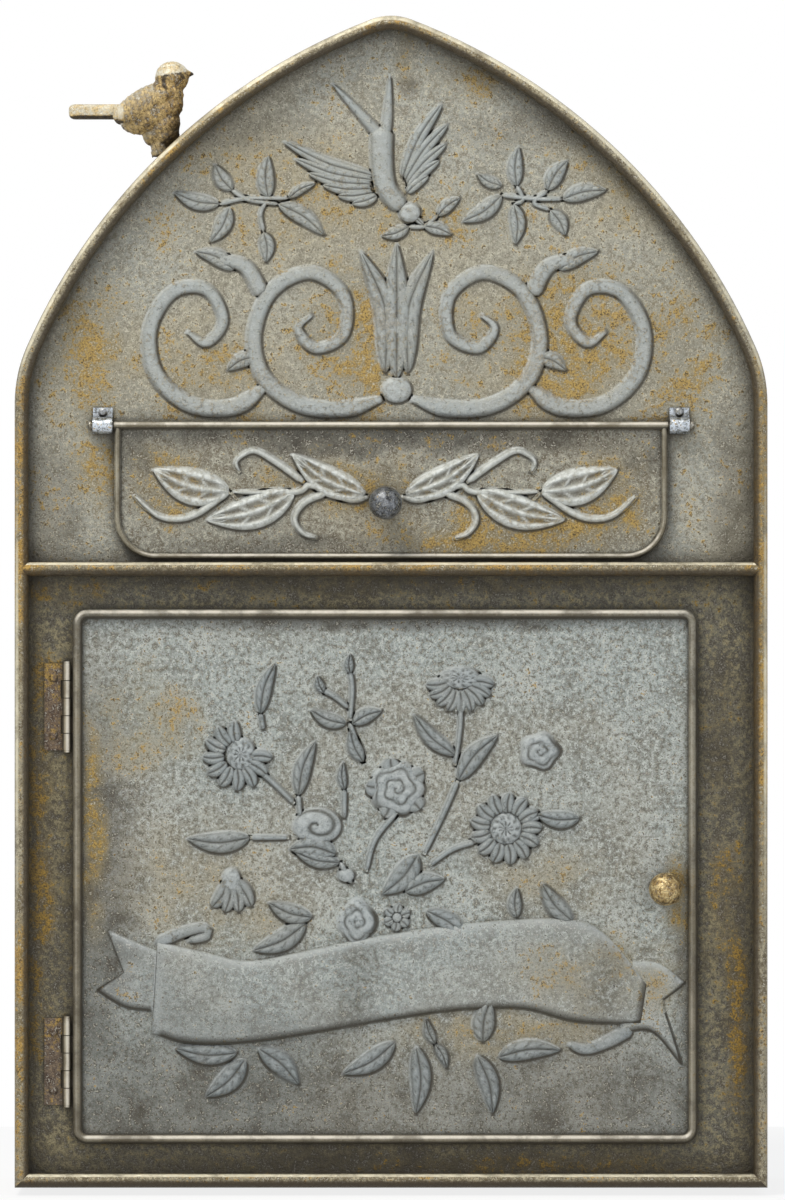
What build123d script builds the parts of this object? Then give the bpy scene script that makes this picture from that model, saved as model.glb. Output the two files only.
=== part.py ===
from build123d import *
import os
from math import cos, radians, sin, sqrt

# Wall mailbox of galvanised sheet: a pointed-arch case, a letter flap and a side-hung door.
# Millimetres. The origin is the middle of the four wall screws, on the wall; +Z is up and the
# front looks along -Y. Heights are above the case's bottom edge, distances are out from the wall.

# Case
box_width = 268.0
box_depth = 95.0
arch_springing = 289.0  # height where the straight sides meet the arch
arch_apex = 418.5  # height where the two arcs meet, before it is rounded
arch_radius = 220.0
shoulder_round = 50.0
apex_round = 20.0
sheet = 0.8
back_lip = 2.6  # seam flange that stands out round the back
bead_radius = 2.5  # rolled front edge and mid rail
wire_fit = 0.05  # between a wire and the edge rolled round it
face_recess = 9.0  # from the front of the rim to the sheets behind it
sheet_flange = 8.0  # turned-back edge of the two front sheets

# Wall screws and hanging keyhole in the back plate
screw_spacing_x = 180.0
screw_spacing_z = 200.0
screw_height = 175.0  # middle of the four screws
screw_hole_radius = 2.5
keyhole_drop = 46.0  # from the arch apex to the keyhole's round end
keyhole_radius = 5.0
keyhole_slot = 4.5  # width of its narrow end
keyhole_rise = 9.0

# Mid rail, letter slot and flap
rail_height = 220.2
rail_flange = 8.0  # from the front sheets back into the case
slot_side = 15.7  # from the flap's edge to the slot
slot_height = 26.0
slot_corner = 4.0
slot_drop = 9.0  # from the flap's rod down to the slot
slot_lip = 3.0
flap_side = 35.3  # from the case's side to the flap
flap_drop = 47.9  # from the rod to the flap's lower edge
flap_corner = 15.0
flap_sheet = 0.5
flap_bead_radius = 1.2
flap_rail_gap = 0.8
rod_radius = 0.85
rod_end = 1.8  # that the rod stands out past its lugs
rod_head_radius = 1.6
lug_radius = 3.0
lug_width = 7.0
lug_gap = 0.6  # between flap and lug
lug_sheet = 0.8
lug_foot = 6.4  # from the rod up to the top of the lug's foot
running_fit = 0.06  # round the rod and the hinge pins

# Door, which covers the edge of its opening
door_left_side = 20.55  # from the case's side to the door
door_right_side = 24.75
door_rise = 15.3  # from the bottom edge to the door
door_drop = 14.3  # from the mid rail down to the door
door_corner = 5.3
door_sheet = 0.6
door_bead_radius = 1.7
door_gap = 0.3  # between the hinge leaf and the frame
door_overlap = 6.0
hinge_overlap = 12.0
opening_corner = 3.0
opening_flange = 6.0

# Hinges
hinge_length = 31.0
hinge_knuckles = 5
knuckle_gap = 0.3
barrel_radius = 1.5
barrel_gap = 0.7  # between the barrel and the door's edge
pin_radius = 0.8
pin_head_radius = 1.4
pin_head = 0.7
leaf_sheet = 0.6
frame_leaf_width = 8.0
door_leaf_width = 15.0
upper_hinge_inset = 34.8
lower_hinge_inset = 29.3

# Ball knobs with their screws and washers
ball_radius = 5.9
neck_radius = 2.4
neck_length = 2.2
collar_radius = 3.8
collar_height = 0.9
knob_screw_radius = 1.5
knob_screw_depth = 7.0
screw_fit = 0.03  # round a screw in its thread
screw_clearance = 0.15  # round a screw where it passes a sheet
screw_head_radius = 2.8
screw_head = 1.6
washer_radius = 3.6
washer_sheet = 0.6
door_knob_inset = 11.7
door_knob_rise = 91.1
flap_knob_shift = 2.0  # left of the middle
flap_knob_drop = 27.7

# Rivets
rivet_radius = 0.9
rivet_head_radius = 1.7
rivet_head = 0.6

# Magnet catch for the door
catch_rise = 26.0  # from the door knob up to the catch
catch_width = 14.0
catch_sheet = 1.0
magnet_gap = 1.2  # between the magnet and the angle it stands on
magnet_radius = 4.5
magnet_length = 5.0

# Bird on the left arc; places are from its seat, towards its beak and up
bird_angle = 46.5  # of its seat, up round the left arc from level
body_front = 5.6
body_length = 26.0
body_rise = 12.6
body_radius = 9.3
fullest = 10.0  # from the breast back to the body's widest place
neck_radius_low = 7.4
neck_radius_high = 4.6
neck_front = 3.2  # back from the breast to the neck's lower end
head_radius = 5.7
head_front = 2.6
head_rise = 24.6
stem_radius = 3.2
thigh_radius = 5.2
wing_relief = 0.9  # that the folded wings stand out of the sides
wing_front = 1.0
wing_length = 24.0
wing_rise = 18.4
wing_bow = 3.4
tail_length = 17.5
tail_width = 8.4
tail_depth = 3.6
beak_length = 4.0
beak_radius = 2.0
bird_screw_radius = 1.4
bird_screw_depth = 9.0

# Pressed ornament of the door and the flap. It is drawn for sheets of these sizes and scaled with
# them; places are from the door's middle, and from the flap's rod in line with the knob.
press_rise = 0.9  # that the pressed forms stand out of the sheet
press_slope = 45  # of their sides, in degrees
leaf_bow = 0.07  # of a leaf's length, that its middle lies beside the line from tip to base
stem_rise = 0.5
stem_width = 1.2
bouquet_width = 222.7
bouquet_height = 190.6
vine_width = 197.4
bouquet_leaves = [  # tip, base, width
    ((-39.2, 76.1), (-44.5, 58.0), 4.6), ((-26.7, 59.4), (-13.9, 54.4), 4.5),
    ((-1.1, 59.1), (-11.8, 54.4), 4.5), ((-12.5, 52.3), (-7.9, 40.9), 4.2),
    ((-24.9, 48.4), (-31.0, 28.8), 5.1), ((9.9, 58.0), (25.2, 43.1), 4.8),
    ((40.2, 50.5), (25.9, 34.2), 5.9), ((53.7, 22.1), (69.3, 20.7), 5.1),
    ((-70.8, 13.5), (-48.1, 13.9), 6.2), ((-32.4, 8.9), (-16.0, 5.0), 4.3),
    ((-1.2, -6.4), (11.7, 7.8), 7.2), ((21.3, -1.0), (7.1, -5.3), 5.9),
    ((-41.7, -9.2), (-26.0, -14.6), 5.7), ((30.1, -23.0), (14.5, -12.1), 5.4),
    ((46.9, -3.9), (46.9, -14.6), 4.0), ((55.8, -2.5), (66.8, -16.0), 5.4),
    ((-47.3, -26.5), (-28.3, -16.8), 6.4), ((-75.1, -61.2), (-52.7, -62.9), 5.7),
    ((-64.1, -78.6), (-49.8, -65.1), 6.6), ((-30.7, -74.3), (-45.2, -61.2), 6.6),
    ((-15.3, -70.4), (3.5, -59.0), 6.1), ((11.0, -84.6), (11.0, -60.4), 6.1),
    ((37.7, -43.7), (34.8, -59.0), 6.6), ((62.6, -61.9), (40.2, -64.4), 5.9),
    ((38.4, -84.6), (32.7, -63.6), 5.9),
]
bouquet_stems = [
    [(-47.7, 40.2), (-39.2, 32.7), (-32.4, 26.0)], [(-11.8, 66.5), (-12.5, 55.6)],
    [(27.0, 65.0), (26.6, 52.3), (24.8, 39.6)], [(25.9, 34.2), (20.6, 22.1), (13.8, 7.8)],
    [(4.2, 23.1), (-3.6, 13.2), (-6.8, 1.7)], [(32.2, 12.5), (23.8, 9.6), (15.8, 4.0)],
    [(-48.1, 13.9), (-34.2, 13.9)],
]
daisies = [  # middle, eye, inner and outer reach of petals, width, count, start, spread
    ((-52.7, 43.1), 4.6, 4.5, 12.0, 4.0, 10, 95, 290),
    ((43.0, 17.1), 5.2, 5.4, 12.4, 4.2, 13, 0, 360),
    ((26.6, 69.0), 3.0, 4.2, 11.4, 3.8, 8, -160, 160),
]
roses = [  # middle, radius
    ((55.1, 44.8), 5.6), ((4.2, 31.3), 8.0), ((-24.2, 17.3), 6.2), ((-10.0, -16.1), 5.4),
]
ribbon_top = [  # the first three are on one arc
    (-79.3, -25.1), (-52.0, -31.7), (-25.0, -28.0), (30.9, -18.4), (70.0, -18.6), (91.1, -38.7),
]
ribbon_foot = [(-81.1, -54.1), (-55.0, -57.4), (-25.0, -54.4), (46.0, -45.6), (89.5, -50.8)]
ribbon_tails = [
    [(-84.9, -28.3), (-97.4, -22.0), (-93.4, -33.6), (-100.4, -39.8), (-85.5, -45.6)],
    [(94.1, -48.6), (101.6, -55.6), (99.6, -44.1), (103.6, -38.4), (94.6, -33.3)],
]
vine_leaves = [  # left half, tip, base, width
    ((-82.9, -15.7), (-55.5, -23.8), 10.4), ((-64.0, -33.8), (-32.4, -23.8), 9.9),
    ((-33.4, -10.3), (-7.6, -24.4), 8.3),
]
vine_stems = [
    [(-55.5, -23.8), (-58.7, -25.6), (-66.9, -31.3), (-74.0, -33.4), (-81.4, -32.0), (-89.6, -24.9)],
    [(-28.8, -20.3), (-37.7, -13.9), (-45.9, -9.2), (-50.5, -10.3), (-53.3, -13.2), (-51.8, -16.8)],
    [(-8.5, -26.1), (-12.4, -26.3), (-19.6, -23.8), (-27.0, -21.3), (-32.4, -23.8), (-55.1, -23.8)],
    [(-20.6, -23.8), (-28.8, -27.4), (-32.4, -33.1), (-29.5, -38.4), (-24.2, -40.2)],
]

half_width = box_width / 2
flap_width = box_width - 2 * flap_side
slot_width = flap_width - 2 * slot_side
base_z = -screw_height
rim_distance = box_depth - bead_radius
face_distance = box_depth - face_recess  # front surface of the two front sheets
rail_bottom = rail_height - sheet / 2
rail_top = rail_height + sheet / 2

rod_height = rail_height + bead_radius + flap_rail_gap + flap_drop
rod_distance = face_distance + lug_radius
flap_curl_radius = rod_radius + wire_fit + flap_sheet
flap_back = rod_distance - flap_curl_radius
slot_middle = rod_height - slot_drop - slot_height / 2

door_left = door_left_side - half_width
door_right = half_width - door_right_side
door_width = door_right - door_left
door_height = rail_height - door_drop - door_rise
door_back = face_distance + door_gap + leaf_sheet
door_middle = door_rise + door_height / 2
opening_left = door_left + hinge_overlap
opening_right = door_right - door_overlap
opening_bottom = door_rise + door_overlap
opening_top = door_rise + door_height - door_overlap
opening_width = opening_right - opening_left
opening_height = opening_top - opening_bottom
opening_middle = (opening_left + opening_right) / 2

hinge_x = door_left - barrel_gap - barrel_radius
hinge_distance = face_distance + door_gap + barrel_radius
upper_hinge_height = door_rise + door_height - upper_hinge_inset
lower_hinge_height = door_rise + lower_hinge_inset
knuckle_length = (hinge_length - (hinge_knuckles - 1) * knuckle_gap) / hinge_knuckles
knuckle_pitch = knuckle_length + knuckle_gap
knuckle_room = barrel_radius + barrel_gap

magnet_front = door_back - door_gap
angle_front = magnet_front - magnet_length
angle_end = opening_right - catch_sheet - magnet_gap - 2 * magnet_radius
leg_front = face_distance - sheet

door_knob_x = door_right - door_knob_inset
door_knob_height = door_rise + door_knob_rise
flap_knob_x = -flap_knob_shift
flap_knob_height = rod_height - flap_knob_drop
catch_height = door_knob_height + catch_rise

# Middle of the left arc, and the place where the bird stands on it
arch_rise = arch_apex - arch_springing
arch_chord = sqrt(half_width**2 + arch_rise**2)
arc_reach = sqrt(arch_radius**2 - arch_chord**2 / 4)
left_arc_x = arc_reach * arch_rise / arch_chord - half_width / 2
left_arc_height = (arch_springing + arch_apex) / 2 - arc_reach * half_width / arch_chord
shoulder_reach = half_width - shoulder_round + left_arc_x
shoulder_lift = sqrt((arch_radius - shoulder_round) ** 2 - shoulder_reach**2)
arch_foot = left_arc_height + shoulder_lift  # where the straight sides start to turn in
bird_x = left_arc_x - arch_radius * cos(radians(bird_angle))
bird_height = left_arc_height + arch_radius * sin(radians(bird_angle))
bird_distance = face_distance - sheet - sheet_flange / 2


def front_plane(distance):
    """Faces the front; its X runs right, its Y up from the case's bottom edge."""
    return Plane(origin=(0, -distance, base_z), x_dir=(1, 0, 0), z_dir=(0, -1, 0))


def back_plane(distance):
    """Faces the wall at a distance from it; its X runs left, its Y up."""
    return Plane(origin=(0, -distance, base_z), x_dir=(-1, 0, 0), z_dir=(0, 1, 0))


def level_plane(height):
    """Faces up; its X runs right, its Y towards the wall."""
    return Plane(origin=(0, 0, base_z + height), x_dir=(1, 0, 0), z_dir=(0, 0, 1))


def side_plane(x):
    """Faces left; its X is the distance from the wall, its Y the height."""
    return Plane(origin=(x, 0, base_z), x_dir=(0, -1, 0), z_dir=(-1, 0, 0))


def case_outline(inset, foot):
    """Front outline of the case, moved in by inset, with its bottom edge at the height foot."""
    with BuildSketch() as outline:
        with BuildLine():
            low_right = (half_width, foot - inset)
            low_left = (-half_width, foot - inset)
            right_side = Line(low_right, (half_width, arch_springing))
            right_arc = RadiusArc(right_side @ 1, (0, arch_apex), -arch_radius)
            left_arc = RadiusArc(right_arc @ 1, (-half_width, arch_springing), -arch_radius)
            Line(left_arc @ 1, low_left)
            Line(low_left, low_right)
        make_face()
        corners = outline.vertices().group_by(Axis.Y)
        fillet(corners[-2], radius=shoulder_round)
        fillet(outline.vertices().sort_by(Axis.Y)[-1:], radius=apex_round)
        if inset != 0:
            offset(amount=-inset, kind=Kind.INTERSECTION)
    return outline.sketch


def bottom_mitre():
    """Wedge of the front view that belongs to the bottom plate, cut at 45 degrees each side."""
    with BuildSketch() as wedge:
        with BuildLine():
            Polyline(
                (-half_width - back_lip, -back_lip),
                (half_width + back_lip, -back_lip),
                (half_width - 2 * bead_radius, 2 * bead_radius),
                (-half_width + 2 * bead_radius, 2 * bead_radius),
                close=True,
            )
        make_face()
    return wedge.sketch


def roll_edge(path, outer_radius, edge_sheet):
    """Adds a sheet's edge rolled into a tube along path."""
    with BuildSketch(Plane(origin=path @ 0, z_dir=path % 0)) as section:
        Circle(outer_radius)
        Circle(outer_radius - edge_sheet, mode=Mode.SUBTRACT)
    sweep(section.sketch, path=path)


def lay_wire(path, radius):
    """Adds a round wire along path."""
    with BuildSketch(Plane(origin=path @ 0, z_dir=path % 0)) as section:
        Circle(radius)
    sweep(section.sketch, path=path)


def ball_knob(x, height, seat):
    """Turned ball on a neck and collar, bored from behind for its screw."""
    ball_distance = seat + collar_height + neck_length + ball_radius
    neck_end = ball_distance - sqrt(ball_radius**2 - neck_radius**2)
    ball_top = ball_distance + ball_radius
    with BuildPart() as knob:
        with BuildSketch(side_plane(x)):
            with BuildLine():
                Polyline(
                    (ball_top, height),
                    (seat, height),
                    (seat, height + collar_radius),
                    (seat + collar_height, height + collar_radius),
                    (seat + collar_height, height + neck_radius),
                    (neck_end, height + neck_radius),
                )
                ThreePointArc(
                    (neck_end, height + neck_radius),
                    (ball_distance, height + ball_radius),
                    (ball_top, height),
                )
            make_face()
        revolve(axis=Axis((x, 0, base_z + height), (0, -1, 0)))
        with BuildSketch(front_plane(seat)):
            with Locations((x, height)):
                Circle(knob_screw_radius + screw_fit)
        extrude(amount=knob_screw_depth, mode=Mode.SUBTRACT)
    return knob.part


def knob_screw(x, height, seat, grip):
    """Pan-head screw from behind, through a washer and a sheet of thickness grip."""
    under_head = seat - grip - washer_sheet
    with BuildPart() as screw:
        with BuildSketch(front_plane(under_head)):
            with Locations((x, height)):
                Circle(knob_screw_radius)
        extrude(amount=grip + washer_sheet + knob_screw_depth - 2 * screw_fit)
        with BuildSketch(back_plane(under_head)):
            with Locations((-x, height)):
                Circle(screw_head_radius)
        extrude(amount=screw_head)
        chamfer(screw.edges().sort_by(Axis.Y)[-1], length=screw_head / 2)
    return screw.part


def knob_washer(x, height, seat, grip):
    """Flat washer under the screw's head."""
    with BuildPart() as washer:
        with BuildSketch(back_plane(seat - grip)):
            with Locations((-x, height)):
                Circle(washer_radius)
                Circle(knob_screw_radius + screw_clearance, mode=Mode.SUBTRACT)
        extrude(amount=washer_sheet)
    return washer.part


def rivet_row(places, head_plane, grip):
    """Rivets at places of head_plane, each through a grip behind it."""
    with BuildPart() as rivets:
        with Locations(head_plane.offset(-grip - rivet_head)):
            with Locations(*places):
                upward = (Align.CENTER, Align.CENTER, Align.MIN)
                Cylinder(rivet_head_radius, rivet_head, align=upward)
                Cylinder(rivet_radius, grip + 2 * rivet_head, align=upward)
        with Locations(head_plane):
            with Locations(*places):
                Cone(rivet_head_radius, rivet_radius, rivet_head, align=upward)
    return rivets.part


def rivet_holes(places, plane, depth):
    """Cuts the holes for a row of rivets, depth deep on both sides of plane."""
    with BuildSketch(plane) as holes:
        with Locations(*places):
            Circle(rivet_radius + wire_fit)
    extrude(holes.sketch, amount=depth, both=True, mode=Mode.SUBTRACT)


def pressed_leaf(tip, base, width):
    """Adds a leaf-shaped form with sloping sides, bowed between its two points."""
    run = Vector(*tip) - Vector(*base)
    side = run.rotate(Axis.Z, 90)
    middle = (Vector(*tip) + Vector(*base)) / 2 + side * leaf_bow
    reach = side.normalized() * (width / 2)
    with BuildSketch() as outline:
        with BuildLine():
            ThreePointArc(base, middle - reach, tip)
            ThreePointArc(tip, middle + reach, base)
        make_face()
    extrude(outline.sketch, amount=press_rise, taper=press_slope)


def pressed_boss(middle, radius):
    """Adds a low round form with a sloping side."""
    with Locations(middle):
        upward = (Align.CENTER, Align.CENTER, Align.MIN)
        Cone(radius, radius - press_rise, press_rise, align=upward)


def pressed_petals(middle, inner, outer, width, count, start, spread):
    """Adds petals spread round the middle of a flower."""
    for index in range(count):
        aim = Vector(1, 0).rotate(Axis.Z, start + spread * index / count)
        pressed_leaf(Vector(*middle) + aim * outer, Vector(*middle) + aim * inner, width)


def ribbon_edge(places):
    """Adds a wavy edge of arcs that run into each other, and returns its two ends."""
    first = ThreePointArc(*places[:3])
    last = first
    for place in places[3:]:
        last = TangentArc(last @ 1, place, tangent=last % 1)
    return first @ 0, last @ 1


def pressed_stem(places):
    """Adds a thin ridge through places."""
    with BuildSketch() as outline:
        with BuildLine():
            Spline(*places)
        trace(line_width=stem_width)
    extrude(outline.sketch, amount=stem_rise)


def save(part, name):
    """Labels a finished piece and writes it."""
    part.label = name
    export_step(part, f"parts/{name}.step")


os.makedirs("parts", exist_ok=True)

# Centre lines of the rolled front edge: up one side, over the arch and down, and along the bottom
with BuildSketch(front_plane(rim_distance)) as rim_line:
    add(case_outline(bead_radius, -bead_radius))
rim_path = Wire(rim_line.sketch.edges().sort_by(Axis.Z)[1:])
with BuildLine(front_plane(rim_distance)) as bottom_line:
    Line((-half_width, bead_radius), (half_width, bead_radius))
bottom_path = Wire(bottom_line.edges())
rim_wire_radius = bead_radius - sheet - wire_fit

# The bird's screw passes the band and the face panel's edge along this plane's normal
seat_normal = (bird_x - left_arc_x, 0, bird_height - left_arc_height)
seat_point = (bird_x, -bird_distance, base_z + bird_height)
bird_plane = Plane(origin=seat_point, z_dir=seat_normal)

# Back plate, with the screws' holes and a keyhole to hang it by
with BuildPart() as back_plate:
    with BuildSketch(front_plane(0)):
        add(case_outline(-back_lip, -back_lip))
        with Locations((0, screw_height)):
            with GridLocations(screw_spacing_x, screw_spacing_z, 2, 2):
                Circle(screw_hole_radius, mode=Mode.SUBTRACT)
        with Locations((0, arch_apex - keyhole_drop)):
            Circle(keyhole_radius, mode=Mode.SUBTRACT)
        with Locations((0, arch_apex - keyhole_drop + keyhole_rise / 2)):
            Rectangle(keyhole_slot, keyhole_rise, mode=Mode.SUBTRACT)
        with Locations((0, arch_apex - keyhole_drop + keyhole_rise)):
            Circle(keyhole_slot / 2, mode=Mode.SUBTRACT)
    extrude(amount=sheet)
save(back_plate.part, "back_plate")

# Side band round the arch, with a seam flange behind and a rolled edge in front
with BuildPart() as side_band:
    with BuildSketch(front_plane(sheet)):
        add(case_outline(-back_lip, -back_lip))
        add(case_outline(sheet, sheet), mode=Mode.SUBTRACT)
    extrude(amount=sheet)
    with BuildSketch(front_plane(2 * sheet)):
        add(case_outline(0, 0))
        add(case_outline(sheet, sheet), mode=Mode.SUBTRACT)
    extrude(amount=rim_distance - 2 * sheet)
    roll_edge(rim_path, bead_radius, sheet)
    with BuildSketch(front_plane(0)):
        add(bottom_mitre())
    extrude(amount=box_depth, mode=Mode.SUBTRACT)
    with BuildSketch(bird_plane):
        Circle(bird_screw_radius + screw_clearance)
    extrude(amount=2 * sheet, both=True, mode=Mode.SUBTRACT)


def band_strip(side, low, high):
    """Strip of the band on one side, between two heights."""
    with BuildPart() as strip:
        add(side_band.part)
        with Locations((0, 0, base_z + low)):
            Box(
                half_width + back_lip,
                box_depth,
                high - low,
                align=(Align.MIN if side > 0 else Align.MAX, Align.MAX, Align.MIN),
                mode=Mode.INTERSECT,
            )
    return strip.part


# The band is seamed at the feet of the arch and at its point, over one wire that runs through
for side, name in ((-1, "left"), (1, "right")):
    save(band_strip(side, -back_lip, arch_foot), f"{name}_side_strip")
    save(band_strip(side, arch_foot, arch_apex + back_lip), f"{name}_arch_strip")

# Bottom plate: the same flange and rolled edge, mitred into the side band at the corners
with BuildPart() as bottom_plate:
    with BuildSketch(front_plane(sheet)):
        with Locations((0, -back_lip)):
            Rectangle(
                box_width + 2 * back_lip, back_lip + sheet, align=(Align.CENTER, Align.MIN)
            )
    extrude(amount=sheet)
    with BuildSketch(front_plane(2 * sheet)):
        Rectangle(box_width, sheet, align=(Align.CENTER, Align.MIN))
    extrude(amount=rim_distance - 2 * sheet)
    roll_edge(bottom_path, bead_radius, sheet)
    with BuildSketch(front_plane(0)):
        add(bottom_mitre())
    extrude(amount=box_depth, mode=Mode.INTERSECT)
save(bottom_plate.part, "bottom_plate")

# Wires inside the two rolled front edges
with BuildPart() as rim_wire:
    lay_wire(rim_path, rim_wire_radius)
    with BuildSketch(front_plane(0)):
        add(bottom_mitre())
    extrude(amount=box_depth, mode=Mode.SUBTRACT)
save(rim_wire.part, "rim_wire")

with BuildPart() as bottom_wire:
    lay_wire(bottom_path, rim_wire_radius)
    with BuildSketch(front_plane(0)):
        add(bottom_mitre())
    extrude(amount=box_depth, mode=Mode.INTERSECT)
save(bottom_wire.part, "bottom_wire")

# Face panel above the rail, with the letter slot behind the flap
lug_middle = flap_width / 2 + lug_gap + lug_width / 2
lug_rivet_height = rod_height + (lug_radius + lug_foot) / 2
lug_rivets = [(-lug_middle, lug_rivet_height), (lug_middle, lug_rivet_height)]
with BuildPart() as face_panel:
    with BuildSketch(front_plane(face_distance - sheet)):
        add(case_outline(sheet, rail_top))
    extrude(amount=sheet)
    with BuildSketch(front_plane(face_distance - sheet - sheet_flange)):
        add(case_outline(sheet, rail_top))
        add(case_outline(2 * sheet, rail_top - sheet), mode=Mode.SUBTRACT)
    extrude(amount=sheet_flange)
    with BuildSketch(front_plane(face_distance - slot_lip)):
        with Locations((0, slot_middle)):
            RectangleRounded(slot_width + 2 * sheet, slot_height + 2 * sheet, slot_corner + sheet)
    extrude(amount=slot_lip)
    with BuildSketch(front_plane(face_distance - slot_lip)):
        with Locations((0, slot_middle)):
            RectangleRounded(slot_width, slot_height, slot_corner)
    extrude(amount=slot_lip, mode=Mode.SUBTRACT)
    rivet_holes(lug_rivets, front_plane(face_distance), sheet)
    with BuildSketch(bird_plane):
        Circle(bird_screw_radius + screw_clearance)
    extrude(amount=-3 * sheet, mode=Mode.SUBTRACT)
save(face_panel.part, "face_panel")

# Mid rail: a strip on edge between the two front sheets, rolled in front and coped to the rim
with BuildLine(front_plane(rim_distance)) as rail_line:
    Line((-half_width + bead_radius, rail_height), (half_width - bead_radius, rail_height))
rail_path = Wire(rail_line.edges())
with BuildPart() as rim_sides:
    with BuildSketch(level_plane(rail_height)):
        for side in (-1, 1):
            with Locations((side * (half_width - bead_radius), -rim_distance)):
                Circle(bead_radius)
    extrude(amount=2 * bead_radius, both=True)
with BuildPart() as mid_rail:
    with BuildSketch(level_plane(rail_bottom)):
        with Locations((0, -face_distance + rail_flange)):
            Rectangle(
                box_width - 2 * sheet,
                rim_distance - face_distance + rail_flange,
                align=(Align.CENTER, Align.MAX),
            )
    extrude(amount=sheet)
    roll_edge(rail_path, bead_radius, sheet)
    with BuildSketch(Plane(origin=rail_path @ 0, z_dir=rail_path % 0)):
        Circle(bead_radius - sheet)
    extrude(amount=box_width, mode=Mode.SUBTRACT)
    add(rim_sides.part, mode=Mode.SUBTRACT)
save(mid_rail.part, "mid_rail")

with BuildPart() as mid_rail_wire:
    lay_wire(rail_path, rim_wire_radius)
    add(rim_sides.part, mode=Mode.SUBTRACT)
save(mid_rail_wire.part, "mid_rail_wire")

# Door frame below the rail, with turned-back edges outside and round the opening
frame_rivets = []
for hinge_height in (lower_hinge_height, upper_hinge_height):
    for end in (-1, 1):
        rivet_x = hinge_x - barrel_radius - (frame_leaf_width - barrel_radius) / 2
        frame_rivets.append((rivet_x, hinge_height + end * hinge_length / 3))
frame_width = box_width - 2 * sheet
catch_rivets = [
    (catch_height - catch_width / 4, 0),
    (catch_height + catch_width / 4, 0),
]
with BuildPart() as door_frame:
    with BuildSketch(front_plane(face_distance - sheet)):
        with Locations((0, sheet)):
            Rectangle(frame_width, rail_bottom - sheet, align=(Align.CENTER, Align.MIN))
    extrude(amount=sheet)
    with BuildSketch(front_plane(face_distance - sheet - sheet_flange)):
        with Locations((0, sheet)):
            Rectangle(frame_width, rail_bottom - sheet, align=(Align.CENTER, Align.MIN))
        with Locations((0, 2 * sheet)):
            Rectangle(
                frame_width - 2 * sheet,
                rail_bottom,
                align=(Align.CENTER, Align.MIN),
                mode=Mode.SUBTRACT,
            )
    extrude(amount=sheet_flange)
    with BuildSketch(front_plane(face_distance - opening_flange)):
        with Locations((opening_middle, door_middle)):
            RectangleRounded(
                opening_width + 2 * sheet, opening_height + 2 * sheet, opening_corner + sheet
            )
    extrude(amount=opening_flange)
    with BuildSketch(front_plane(face_distance - opening_flange)):
        with Locations((opening_middle, door_middle)):
            RectangleRounded(opening_width, opening_height, opening_corner)
    extrude(amount=opening_flange, mode=Mode.SUBTRACT)
    rivet_holes(frame_rivets, front_plane(face_distance), sheet)
    # Holes of the catch's rivets, through the turned-back edge beside the opening
    catch_plane = Plane(
        origin=(opening_right, -(angle_front + leg_front) / 2, base_z),
        x_dir=(0, 0, 1),
        z_dir=(-1, 0, 0),
    )
    rivet_holes(catch_rivets, catch_plane, 2 * sheet)
save(door_frame.part, "door_frame")


def flap_lug(side):
    """Eye for the rod with a foot up the face panel, on one side of the flap."""
    inner_x = side * lug_middle + lug_width / 2
    with BuildPart() as lug:
        with BuildSketch(side_plane(inner_x)):
            with Locations((rod_distance, rod_height)):
                Circle(lug_radius)
            with Locations((face_distance, rod_height)):
                Rectangle(lug_sheet, lug_foot, align=(Align.MIN, Align.MIN))
            with Locations((rod_distance, rod_height)):
                Circle(rod_radius + running_fit, mode=Mode.SUBTRACT)
        extrude(amount=lug_width)
        rivet_holes(lug_rivets, front_plane(face_distance), 2 * lug_sheet)
    return lug.part


save(flap_lug(-1), "left_flap_lug")
save(flap_lug(1), "right_flap_lug")
lug_front = front_plane(face_distance + lug_sheet)
save(rivet_row(lug_rivets, lug_front, lug_sheet + sheet), "flap_lug_rivets")


def knuckle_heights(centre_height, on_frame):
    """Middles of one leaf's knuckles: a frame leaf has the outermost ones."""
    middle_place = (hinge_knuckles - 1) / 2
    places = range(0 if on_frame else 1, hinge_knuckles, 2)
    return [centre_height + (place - middle_place) * knuckle_pitch for place in places]


def hinge_leaf(centre_height, on_frame):
    """One leaf of a butt hinge, with its knuckles and pin hole."""
    side = -1 if on_frame else 1
    leaf_width = frame_leaf_width if on_frame else door_leaf_width
    leaf_back = face_distance if on_frame else face_distance + door_gap
    with BuildPart() as leaf:
        with BuildSketch(front_plane(leaf_back)):
            with Locations((hinge_x + side * leaf_width / 2, centre_height)):
                Rectangle(leaf_width, hinge_length)
            # Gaps for the other leaf's knuckles
            with Locations(*((hinge_x, h) for h in knuckle_heights(centre_height, not on_frame))):
                gap_height = knuckle_length + 2 * knuckle_gap
                Rectangle(2 * knuckle_room, gap_height, mode=Mode.SUBTRACT)
        extrude(amount=leaf_sheet)
        for knuckle_height in knuckle_heights(centre_height, on_frame):
            with BuildSketch(level_plane(knuckle_height)):
                with Locations((hinge_x, -hinge_distance)):
                    Circle(barrel_radius)
            extrude(amount=knuckle_length / 2, both=True)
        with BuildSketch(level_plane(centre_height)):
            with Locations((hinge_x, -hinge_distance)):
                Circle(pin_radius + running_fit)
        extrude(amount=hinge_length, both=True, mode=Mode.SUBTRACT)
        if on_frame:
            rivet_holes(frame_rivets, front_plane(leaf_back), 2 * leaf_sheet)
    return leaf.part


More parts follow.
